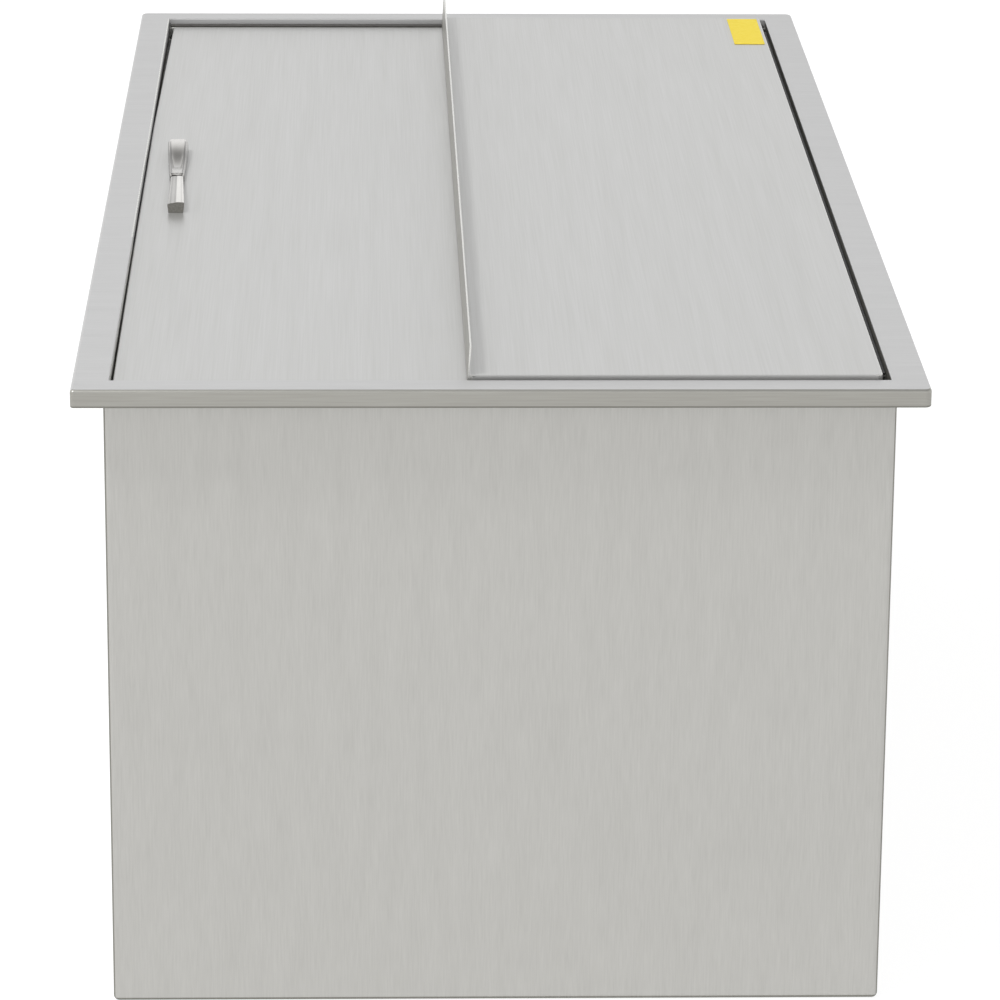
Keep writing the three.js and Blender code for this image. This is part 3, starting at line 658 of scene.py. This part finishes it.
# %% Tub
TUB_CORNER, TUB_COVE, TAIL_RADIUS = 19.0, 12.0, 16.7
WALL_THICKNESS, FLANGE_BLEND = 24.0, 3.0
flange_low, flange_high = span("tub")
tub_x, tub_y = jacket_x - WALL_THICKNESS, jacket_y - WALL_THICKNESS
tub_floor, tub_top = flange_low[2] + SHEET, flange_high[2]
flange_x, flange_y = flange_high[0] - tub_x, flange_high[1] - tub_y
tub_path = [(-TUB_COVE - 1, tub_floor), (0, tub_floor), (0, tub_top), (flange_x, tub_top)]
tub_radii = [1, TUB_COVE, 2.0, 0.2, 0.2, 1.0, TUB_COVE + SHEET, 1]
outward, tub_z = folded(sheet_outline(tub_path), tub_radii, closed=False).T
outward_y = outward + (flange_y - flange_x) * np.clip((outward - FLANGE_BLEND) / BLEND_LENGTH, 0, 1)
tub_corner = TUB_CORNER + np.minimum(outward, SHEET)
climb = np.abs(tub_z - tub_floor)
wall, wall_flat = (
    rings(tub_x + outward + out, tub_y + outward_y + out, tub_corner, tub_z, side_steps=HOLE_SIDE_STEPS)
    for out in (0, climb)
)
tub_hole = hole_like(wall[0], TAIL_RADIUS + SEAM, tub_x, tub_y, tub_floor)
shares = np.array([0.0, 0.08, 0.35, 0.7])[:, None, None]
inner_floor = tub_hole + (wall[0] - tub_hole) * shares
outer_floor = (inner_floor - (0, 0, SHEET))[::-1]
tub_rows = np.concatenate([inner_floor, wall, outer_floor])
tub_flat = np.concatenate([inner_floor[..., :2], wall_flat[..., :2], outer_floor[..., :2]])
make_piece("tub_liner", [skin(tub_rows, True, tub_flat[..., ::-1])], [tub_steel], ["tub"])

# %% [markdown]
# ## Tracks, ledges and glides
# The two halves of the cover run at two levels. At each end a stepped track carries
# them on black plastic glides, and a ledge does so along each side. They are strips
# with tight folds, and a drip leg hangs from each into the tub.

# %% Tracks and ledges
DRIP_FOOT = span("front_track")[0][2]
upper = span("front_track")[1][2]
lower = span("left_ledge")[1][2]
opening_x, opening_y = rim_x - SIDE_RAIL, rim_y - END_RAIL
leg_x, leg_y = tub_x - SEAM, tub_y - SEAM
STEP_REACH = 7.1
step_y = opening_y - STEP_REACH


def strip_along_x(profile, x0, x1):
    """A strip along X: the same as one along Y with its two level axes changed over."""
    points, faces, flat, paints = strip_along_y(profile, x0, x1)
    return points[:, [1, 0, 2]], faces, flat, paints


def drip_leg(outer_edge, inner_edge, top):
    """The profile of a narrow leg that hangs from a ledge."""
    return folded(rectangle(inner_edge, top, outer_edge, DRIP_FOOT), [0.2] * 4)


for end, sign in (("front", -1), ("rear", 1)):
    outer_y = opening_y - SEAM
    step_in, ledge_in = step_y + SHEET, leg_y - SHEET
    corners = [(outer_y, upper), (step_y, upper), (step_y, lower)]
    corners += [(ledge_in, lower), (ledge_in, lower - SHEET), (step_in, lower - SHEET)]
    corners += [(step_in, upper - SHEET), (outer_y, upper - SHEET)]
    shelf = folded(corners, [0.2, 1.1, 0.8, 0.3, 0.2, 1.1, 0.2, 0.2]) * (sign, 1)
    leg = drip_leg(leg_y, ledge_in, lower - SHEET / 2) * (sign, 1)
    shelf_skin = strip_along_x(shelf, SEAM - opening_x, opening_x - SEAM)
    leg_skin = strip_along_x(leg, TUB_CORNER - tub_x, tub_x - TUB_CORNER)
    make_piece(f"{end}_runner", [shelf_skin, leg_skin], [mill_steel], [f"{end}_track"])

ledge_reach, leg_reach = leg_y - SHEET - SEAM, tub_y - TUB_CORNER
outer_x = opening_x - SEAM
left_top = rectangle(-outer_x, lower, SHEET - leg_x, lower - SHEET)
right_foot, shelf_in, wall_in = tub_top + SEAM, leg_x - SHEET, outer_x - SHEET
right_top = [(outer_x, upper), (shelf_in, upper), (shelf_in, upper - SHEET)]
right_top += [(wall_in, upper - SHEET), (wall_in, right_foot), (outer_x, right_foot)]
for side, sign, top, radii, level_top in (
    ("left", -1, left_top, [0.2, 0.3, 0.2, 0.2], lower),
    ("right", 1, right_top, [1.1, 0.3, 0.2, 0.2, 0.2, 0.2], upper),
):
    leg = drip_leg(leg_x, leg_x - SHEET, level_top - SHEET / 2) * (sign, 1)
    shelf_skin = strip_along_y(folded(top, radii), -ledge_reach, ledge_reach)
    leg_skin = strip_along_y(leg, -leg_reach, leg_reach)
    make_piece(f"{side}_shelf", [shelf_skin, leg_skin], [mill_steel], [f"{side}_ledge"])

# %% [markdown]
# The glides and the label have soft edges all round: a stack of rounded rectangles that
# goes small, full, full, small.

# %% Glides and label


def slab(low, high, corner, edge):
    """A block with round upright corners and rounded edges: rows of rounded rectangles
    that follow a profile with both its corners rounded."""
    middle = (low + high) / 2
    half_x, half_y = (high - low)[:2] / 2
    start = 2.5 * edge
    profile = [(start, low[2]), (0, low[2]), (0, high[2]), (start, high[2])]
    depth, z = folded(profile, [0.1, edge, edge, 0.1], closed=False).T
    round_corner = np.maximum(corner - depth, 0.05)
    points = rings(half_x - depth, half_y - depth, round_corner, z, middle[0], ease=0.1)
    return skin(points + (0, middle[1], 0))


for glide in ("front_upper", "front_lower", "rear_upper", "rear_lower", "left", "right"):
    low, high = span(f"{glide}_glide")
    strip = slab(low, high, 1.0, 0.25)
    plastic = worn_plastic if glide == "rear_upper" else glide_plastic
    make_piece(f"{glide}_slide_strip", [strip], [plastic], [f"{glide}_glide"])

low, high = span("label")
film = slab(low, high, 1.2, 0.1)
make_piece("film_label", [film], [label_film], ["label"], "right_cover")

# %% [markdown]
# ## Cover, left half
# The left half is a shallow pan of sheet, folded down all round and open below. Its
# rows start under the sheet, go round the skirt's foot, and end on the flat top. Its
# left edge is bowed by a millimetre or two, so the gap beside it is narrow in the
# middle and widest at the far end.

# %% Left half of the cover
LEFT_BEND, RIGHT_BEND, LID_CORNER = 0.7, 0.5, 3.5
PAN_START, LEAST_LID_CORNER = 12.0, 0.3
# Places along the left edge, in half lengths, and its shift at each.
BOW_PLACE_SHARES, BOW_SHIFTS = (-1, -0.5, 0.3, 0.62, 1), (0, -0.6, -0.8, -0.6, 1.9)


def pan_profile(low_z, top_z, bend):
    """A lid's edge, from under the sheet to its top: distance inward, height and the
    radius of the lid's corners there."""
    corners = sheet_outline([(PAN_START, top_z - SHEET), (SHEET, top_z - SHEET), (SHEET, low_z)])
    inward, z = folded(corners, [1, 0.2, 0.2, 0.2, bend, 1], closed=False).T
    return inward, z, np.maximum(LID_CORNER - inward, LEAST_LID_CORNER)


low, high = span("left_lid")
inward, lid_z, lid_corner = pan_profile(low[2], high[2], LEFT_BEND)
half_x, half_y = (high - low)[:2] / 2
lid_middle = (low[0] + high[0]) / 2
lid, lid_flat = (
    rings(half_x - inward + out, half_y - inward + out, lid_corner, lid_z, lid_middle)
    for out in (0, high[2] - lid_z)
)
lid_x, lid_y = lid[..., 0], lid[..., 1]
lid_x += np.where(lid_x < lid_middle, np.interp(lid_y / half_y, BOW_PLACE_SHARES, BOW_SHIFTS), 0)
sheet = skin(lid, flat=lid_flat[..., 1::-1])
make_piece("left_cover_sheet", [sheet], [cover_steel], ["left_lid"], body="left_cover")

# %% [markdown]
# ## Cover, right half
# The right half lies higher, and its left edge is folded up into a flange that the hand
# pushes. The flange meets the lid in a small hollow fold and leans a little to the
# right. The flange's top edge and its two ends carry a painted highlight, and so does
# the bend along the pan's right side; the flange's left face is a greyer steel, painted
# shade. The pan next to it has its skirt on three sides. On the fourth its rows end at
# the hollow, or, below it, at the flange.

# %% Right half of the cover
HOLLOW, FLANGE_SHIFT, FLANGE_LEAN = 1.25, 0.5, 1.2
# How far the greyer face of painted shade, the painted highlight on the top edge and the one on the
# right side reach.
FACE_DEPTH, FACE_BELOW_TOP, BRIGHT_EDGE, BRIGHT_SIDE = 0.3, 0.4, 0.7, 3.0
low, high = span("right_lid")
LABEL_GAP, SHARP, SKIRT_EASE, LEAN_EASE = 0.1, 0.05, 0.01, 0.1
pan_top = span("label")[0][2] - LABEL_GAP
inward, lid_z, lid_corner = pan_profile(low[2], pan_top, RIGHT_BEND)
pan_left, pan_right = low[0] + SHEET + HOLLOW, high[0] - inward
half_y = (high[1] - low[1]) / 2
left_corner = np.full(len(inward), SHARP)
four = np.stack([lid_corner, left_corner, left_corner, lid_corner], -1)
on_skirt = (inward < SHEET + SKIRT_EASE) & (lid_z < pan_top - RIGHT_BEND - SHARP)
row_left = np.where(on_skirt, low[0] + SHEET, pan_left)
pan = rings((pan_right - row_left) / 2, half_y - inward, four, lid_z, (row_left + pan_right) / 2)
skirt = pan_top - lid_z
pan_flat = pan[..., :2] + np.sign(pan[..., :2]) * skirt[:, None, None]
left, inner, under = low[0], low[0] + SHEET, pan_top - SHEET
flange_corners = [(left, low[2]), (left, high[2]), (inner, high[2]), (inner, pan_top)]
flange_corners += [(pan_left, pan_top), (pan_left, under), (inner, under), (inner, low[2])]
flange = folded(flange_corners, [0.2, 0.4, 0.4, 1.1, SHARP, 0.1, 0.1, 0.2])
flange_x, flange_z = midway(flange[:, 0]), midway(flange[:, 1])
# Painted shade on the flange's left face, and a painted highlight on its top edge.
on_face = (flange_x < low[0] + FACE_DEPTH) & (flange_z < high[2] - FACE_BELOW_TOP)
flange_paint = np.select([on_face, flange_z > high[2] - BRIGHT_EDGE], [1, 2], 0)
depth_share = (high[2] - flange[:, 1]) / (high[2] - pan_top)
outer_or_upper = (flange[:, 0] < low[0] + SHEET / 2) | (flange[:, 1] > pan_top - SHEET / 2)
leaning = (flange[:, 0] < pan_left - LEAN_EASE) & outer_or_upper
flange[:, 0] -= np.where(leaning, FLANGE_SHIFT + FLANGE_LEAN * np.minimum(depth_share, 1), 0)
pan_x, pan_depth, pan_rise = pan[-1, :, 0], midway(inward), midway(lid_z)
at_bend = (pan_rise > pan_top - RIGHT_BEND) & (pan_depth < RIGHT_BEND)
# A painted highlight along the bend of the pan's right side.
pan_paint = np.where(at_bend[:, None] & (pan_x > pan_right[-1] - BRIGHT_SIDE), 2, 0)
pan_skin = skin(pan, flat=pan_flat[..., ::-1], paint=pan_paint)
flange_skin = strip_along_y(flange, -half_y, half_y, paint=flange_paint, end_paint=2)
steels = [cover_steel, lip_shade_steel, highlight_steel]
make_piece("right_cover_sheet", [pan_skin, flange_skin], steels, ["right_lid"], body="right_cover")

# %% [markdown]
# Under each half lies a stiffener, a hat-shaped strip that keeps the thin sheet from
# drumming. It only shows when the cover is lifted.

# %% Stiffeners
HAT_HALF, CROWN_HALF = 30.0, 18.0
for side, body in (("left", "left_cover"), ("right", "right_cover")):
    low, high = span(f"{side}_lid_stiffener")
    middle, foot, top = (low[0] + high[0]) / 2, low[2], high[2]
    half = [(-HAT_HALF, top), (-CROWN_HALF, top), (-CROWN_HALF, foot + SHEET)]
    hat = sheet_outline(half + [(-x, z) for x, z in half[::-1]])
    radii = [0.2, 0.9, 0.4, 0.4, 0.9, 0.2, 0.2, 0.3, 0.9, 0.9, 0.3, 0.2]
    strip = strip_along_y(folded(hat, radii) + (middle, 0), low[1], high[1])
    node_name = f"{side}_lid_stiffener"
    make_piece(f"{side}_cover_stiffener", [strip], [mill_steel], [node_name], body)

# %% [markdown]
# ## Handle
# The handle is a low cast pull, plated and rubbed satin. It is waisted in width and in
# height, and a ring marks its waist. Its near end is cut square and leans in below,
# its far end is rounded off, and its top has a faint ridge. All of this is one surface
# of two parameters: how far along, and how far round.

# %% Handle
low, high = span("handle")
PULL_INSET = 19.4
pull_middle, pull_y = span("left_lid")[0][0] + PULL_INSET, (low[1] + high[1]) / 2
PULL_NEAR, PULL_FAR, PULL_TURN, pull_base = 73.5, 80.5, radians(1.45), low[2]
NEAR_WIDTH, WAIST_WIDTH, FAR_WIDTH = 10.4, 8.0, 13.2
NEAR_HEIGHT, WAIST_HEIGHT, FAR_HEIGHT = 6.6, 4.6, 8.5
SPOON_DEPTH, BEAD_HEIGHT, GROOVE_DEPTH = 1.5, 0.7, 0.6
# Where along the pull the ring's bead and groove lie, from -1 to 1, and where the far
# end starts to be rounded off.
BEAD_AT, GROOVE_AT, ROUND_FROM = 0.04, -0.012, 0.93


def bell(value, middle, half_width):
    """exp(-((value - middle) / half_width)^2): 1 at the middle and near 0 past twice the
    half width."""
    return np.exp(-(((value - middle) / half_width) ** 2))


def section_shape(s, t):
    """Across from 1 to -1 and upward from 0 to 1 to 0 as t goes half round. They lie on
    a circle that is squared off by a high power, and more so towards the near end."""
    power = 6 + 10 * np.clip(-s, 0, 1)
    span_of_t = (np.abs(np.cos(t)) ** power + np.abs(np.sin(t)) ** power) ** (1 / power)
    return np.cos(t) / span_of_t, np.abs(np.sin(t)) / span_of_t


def handle_surface(s, t):
    """The pull's skin. s runs from -1 at its near end to 1 at its far end, t from 0 to
    180 degrees across. The near half is a low roof. The far half is a shallow spoon
    that rises in a smooth step."""
    away, near, far = np.abs(s), np.clip(-s, 0, 1), np.clip(s, 0, 1)
    across, upward = section_shape(s, t)
    near_width = WAIST_WIDTH + (NEAR_WIDTH - WAIST_WIDTH) * away
    far_width = WAIST_WIDTH + (FAR_WIDTH - WAIST_WIDTH) * away**0.65
    width = np.where(s < 0, near_width, far_width)
    climb = np.clip((far - 0.30) / 0.56, 0, 1)
    rise = np.where(s < 0, (1 - np.cos(pi * near)) / 2, climb**2 * (3 - 2 * climb))
    height = WAIST_HEIGHT + (np.where(s < 0, NEAR_HEIGHT, FAR_HEIGHT) - WAIST_HEIGHT) * rise
    rounding = np.sqrt(np.clip(1 - (np.clip(s - ROUND_FROM, 0, 1) / 0.075) ** 2, 0.02, 1))
    spoon = SPOON_DEPTH * bell(far, 0.38, 0.2) * np.clip(1 - (across / 0.62) ** 4, 0, 1)
    bead = BEAD_HEIGHT * bell(s, BEAD_AT, 0.022) * (1 - 0.7 * bell(across, 0, 0.28))
    groove = GROOVE_DEPTH * bell(s, GROOVE_AT, 0.008)
    off_ridge = across + 0.15
    roof = near**0.3 * np.where(off_ridge > 0, 1.1 * off_ridge / 1.15, -0.3 * off_ridge)
    bevel = 1.1 * far**0.4 * np.clip((np.abs(across) - 0.66) / 0.34, 0, 1)
    lean = 1 - 0.14 * near * (1 - upward)
    x = -(width / 2 + 0.4 * bead - groove) * across * lean * (0.75 + 0.25 * rounding)
    z = ((height + bead - groove - spoon) * rounding - roof - bevel) * upward
    along = np.where(s < 0, PULL_NEAR, PULL_FAR) * s * (1 + 0 * t)
    turned_x = pull_middle + x * np.cos(PULL_TURN) - along * np.sin(PULL_TURN)
    turned_y = pull_y + x * np.sin(PULL_TURN) + along * np.cos(PULL_TURN)
    return np.stack([turned_x, turned_y, pull_base + z], -1)


stations = np.r_[
    -1,
    np.linspace(-0.995, -0.06, 24),
    np.linspace(-0.05, 0.12, 40),
    np.linspace(0.14, 0.92, 40),
    ROUND_FROM + (1 - ROUND_FROM) * np.sin(np.linspace(0.1, pi / 2, 10)),
]
section = np.linspace(0, pi, 97)
pull = handle_surface(stations[:, None], section[None, :])


def painted_shade_share(s, t):
    """How much painted shade and painted reflection darken the plating, from 0 to 1: in the
    spoon, in the groove and on the boss as bell curves along s, down both flanks, and as
    lines along the edges and the left of the ridge, also bell curves, across it."""
    across, upward = section_shape(s, t)
    far, right_side = np.clip(s, 0, 1), -across
    spoon = 0.34 * bell(far, 0.60, 0.14) + 0.52 * bell(far, 0.36, 0.4)
    edge_line = 0.7 * bell(np.abs(right_side), 0.74, 0.07) * (far < 0.9)
    streaks = 0.22 * bell(right_side, -0.62, 0.1) + 0.16 * bell(right_side, -0.12, 0.1)
    ridge = np.where(right_side < 0.05, 0.5, 0.0) + streaks + 0.3 * bell(right_side, 0.66, 0.06)
    groove = 0.8 * bell(s, GROOVE_AT, 0.012)
    boss = 0.9 * bell(s, BEAD_AT + 0.005, 0.02) * bell(right_side, 0, 0.2)
    flank = 0.8 * (upward < 0.7)
    return np.clip(np.where(s < 0, ridge, spoon + edge_line) + groove + boss + flank, 0, 0.95)


# Both end faces take the dark casting, painted shade, and the plating darkens by the share of painted
# shade and painted reflection below.
pull_skin = skin(pull, flat=pull[..., :2], end_paint=1)
shade_amount = painted_shade_share(stations[:, None], section[None, :])
metals = [handle_plate, handle_end_shade]
make_piece("cast_pull", [pull_skin], metals, ["handle"], "left_cover", painted_shade=shade_amount)

# %% [markdown]
# ## Turned pieces
# Screws, washers and drain fittings are turned on a lathe, so their surface is a
# profile carried round an axis.

# %% Turning helper
TURN_STEPS = 64


def angles(steps=TURN_STEPS):
    """Evenly spaced angles of a full turn."""
    return np.arange(steps) * 2 * pi / steps


def carried_round(radius, z, x=0.0, y=0.0, steps=TURN_STEPS):
    """The points (x + radius cos a, y + radius sin a, z) for each angle a of a turn."""
    a = angles(steps)
    return np.stack(np.broadcast_arrays(x + radius * np.cos(a), y + radius * np.sin(a), z), -1)


def lathe(profile, x=0.0, y=0.0, loop_rows=True, steps=TURN_STEPS):
    """A profile of (radius, z) points carried round an upright axis."""
    return skin(carried_round(profile[:, :1], profile[:, 1:], x, y, steps), loop_rows)


for end in ("front", "rear"):
    low, high = span(f"handle_screw_{end}")
    x, y = (low[:2] + high[:2]) / 2
    head = low[2] + 2.2
    corners = [(0.05, low[2]), (3.6, low[2]), (3.6, head), (2.0, head), (2.0, high[2]), (0.05, high[2])]
    profile = folded(corners, [0.1, 1.5, 0.2, 0.1, 0.4, 0.1], closed=False)
    screw = lathe(profile, x, y, loop_rows=False, steps=32)
    node_name = f"handle_screw_{end}"
    make_piece(f"pull_screw_{end}", [screw], [turned_steel], [node_name], "left_cover")

# %% [markdown]
# ## Drain
# The drain is a flanged cup and a threaded tail through the floor, drawn tight by a
# gasket and a nut. The thread is a helix: the radius drops and rises once for each
# pitch along the axis, and the whole pattern climbs one pitch in a turn.

# %% Drain cup, tail, gasket, nut and well
BORE_RADIUS, CUP_RADIUS, CUP_RIM, CUP_FLOOR = 13.2, 15.0, 30.0, 1.6
low, high = span("drain_flange")
seat, floor_z = tub_floor + SEAM, low[2] + CUP_FLOOR
cup = [(BORE_RADIUS, low[2]), (TAIL_RADIUS, low[2]), (TAIL_RADIUS, seat), (CUP_RIM, seat)]
cup += [(CUP_RIM, seat + 0.8), (CUP_RIM - 1.6, high[2]), (CUP_RADIUS, high[2])]
cup += [(CUP_RADIUS, floor_z), (BORE_RADIUS, floor_z)]
cup_skin = lathe(folded(cup, [0.2, 0.2, 0.4, 0.2, 0.3, 1.5, 0.5, 0.3, 0.3]))
make_piece("drain_cup", [cup_skin], [turned_steel], ["drain_flange"])

PITCH_OF_THREAD, THREAD_DEPTH = 2.2, 0.9
low, high = span("drain_tail")
thread_z = np.linspace(low[2], high[2], 110)[:, None]
phase = (thread_z / PITCH_OF_THREAD - angles() / (2 * pi)) % 1
fade = np.clip(np.minimum(thread_z - low[2], high[2] - thread_z) / PITCH_OF_THREAD, 0, 1)
thread_radius = TAIL_RADIUS - THREAD_DEPTH * np.abs(2 * phase - 1) * fade - 0.3 * (1 - fade)
outside = carried_round(thread_radius, thread_z)
bore = carried_round(BORE_RADIUS, thread_z[[-1, 0]])
tail = skin(np.concatenate([outside, bore]), True)
make_piece("threaded_tail", [tail], [turned_steel], ["drain_tail"], crease=60)

low, high = span("drain_gasket")
GASKET_HOLE, GASKET_RADIUS = 17.0, 27.0
washer = lathe(folded(rectangle(GASKET_HOLE, low[2], GASKET_RADIUS, high[2]), [0.4] * 4))
make_piece("drain_washer", [washer], [gasket_rubber], ["drain_gasket"])

low, high = span("drain_nut")
NUT_ACROSS_CORNERS, NUT_FACE, NUT_CHAMFER = 50.0, 22.2, 1.1
facet = (angles() + pi / 6) % (pi / 3) - pi / 6
flat_radius = NUT_ACROSS_CORNERS / 2 * np.cos(pi / 6) / np.cos(facet)
thick, past_corner = high[2] - low[2], NUT_ACROSS_CORNERS / 2 + 0.2
radii = np.array([GASKET_HOLE, NUT_FACE, past_corner, past_corner, NUT_FACE, GASKET_HOLE])
rise = np.array([0, 0, NUT_CHAMFER, thick - NUT_CHAMFER, thick, thick])[:, None]
nut = carried_round(np.minimum(radii[:, None], flat_radius), low[2] + rise)
make_piece("lock_nut", [skin(nut, True)], [turned_steel], ["drain_nut"], crease=25)

low, high = span("drain_well")
sleeve = lathe(folded(rectangle(WELL_RADIUS, low[2], WELL_RADIUS + SHEET, high[2]), [0.2] * 4))
make_piece("drain_sleeve", [sleeve], [mill_steel], ["drain_well"])

# %% [markdown]
# ## Strainer
# The strainer is a punched disc with a knob, lifted out to clean the drain. Round each
# hole the sheet is a patch between the hole's circle and the outline of its share of
# the disc, and eight such patches meet edge to edge.

# %% Strainer
low, high = span("drain_strainer")
HOLES, HOLE_RADIUS, HOLE_CIRCLE, HUB = 8, 2.0, 9.5, 2.6
DISC_THICKNESS, DISH, PATCH_STEPS = 1.2, 0.25, 8
disc_radius = (high[0] - low[0]) / 2
half_share, side = pi / HOLES, np.linspace(-1, 1, PATCH_STEPS + 1)[:-1]
radial = (HUB + disc_radius) / 2 + side * (disc_radius - HUB) / 2
still = np.ones(PATCH_STEPS)
radial_back = radial[::-1] + radial[1] - radial[0]
outline_radius = np.r_[still * disc_radius, radial_back, still * HUB, radial]
outline_angle = half_share * np.r_[side, still, -side, -still]
outline = outline_radius[:, None] * np.stack([np.cos(outline_angle), np.sin(outline_angle)], -1)
hole_middle = np.array([HOLE_CIRCLE, 0])
hole = hole_middle + HOLE_RADIUS * unit(outline - hole_middle)
shares = np.array([0, 0.12, 0.55, 1])[:, None, None]
patch = hole + (outline - hole) * shares
patches = []
for k in range(HOLES):
    c, s = np.cos(2 * k * half_share), np.sin(2 * k * half_share)
    turned_patch = patch @ np.array([[c, s], [-s, c]])
    dish = DISH * (np.linalg.norm(turned_patch, axis=-1, keepdims=True) / disc_radius) ** 2
    lower = np.concatenate([turned_patch, low[2] + dish], -1)
    upper = (lower + (0, 0, DISC_THICKNESS - DISH))[::-1]
    patches.append(skin(np.concatenate([lower, upper]), True))
foot, stem, top = low[2] + 0.3, 1.8, high[2]
knob_corners = [(0.05, foot), (HUB + 0.2, foot), (HUB + 0.2, low[2] + 1.6), (stem, low[2] + 3)]
knob_corners += [(stem, top - 8), (4, top - 6.5), (4, top), (0.05, top)]
knob = folded(knob_corners, [0.1, 0.2, 0.3, 1.5, 0.8, 1.0, 3.0, 0.1], closed=False)
skins = [*patches, lathe(knob, loop_rows=False, steps=48)]
make_piece("strainer", skins, [turned_steel], ["drain_strainer"], "strainer")

# %% [markdown]
# ## Foam
# The foam slabs fill the space between the jacket and the tub. Nobody sees them, and
# their CAD shape is right, so they only get their material.

# %% Foam
for slab_name in ("front", "rear", "left", "right", "bottom"):
    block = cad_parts[f"foam_{slab_name}"]
    for material_slot in block.material_slots:
        material_slot.material = foam
print("CAD nodes still shown:", sorted(n for n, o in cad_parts.items() if not o.hide_render))
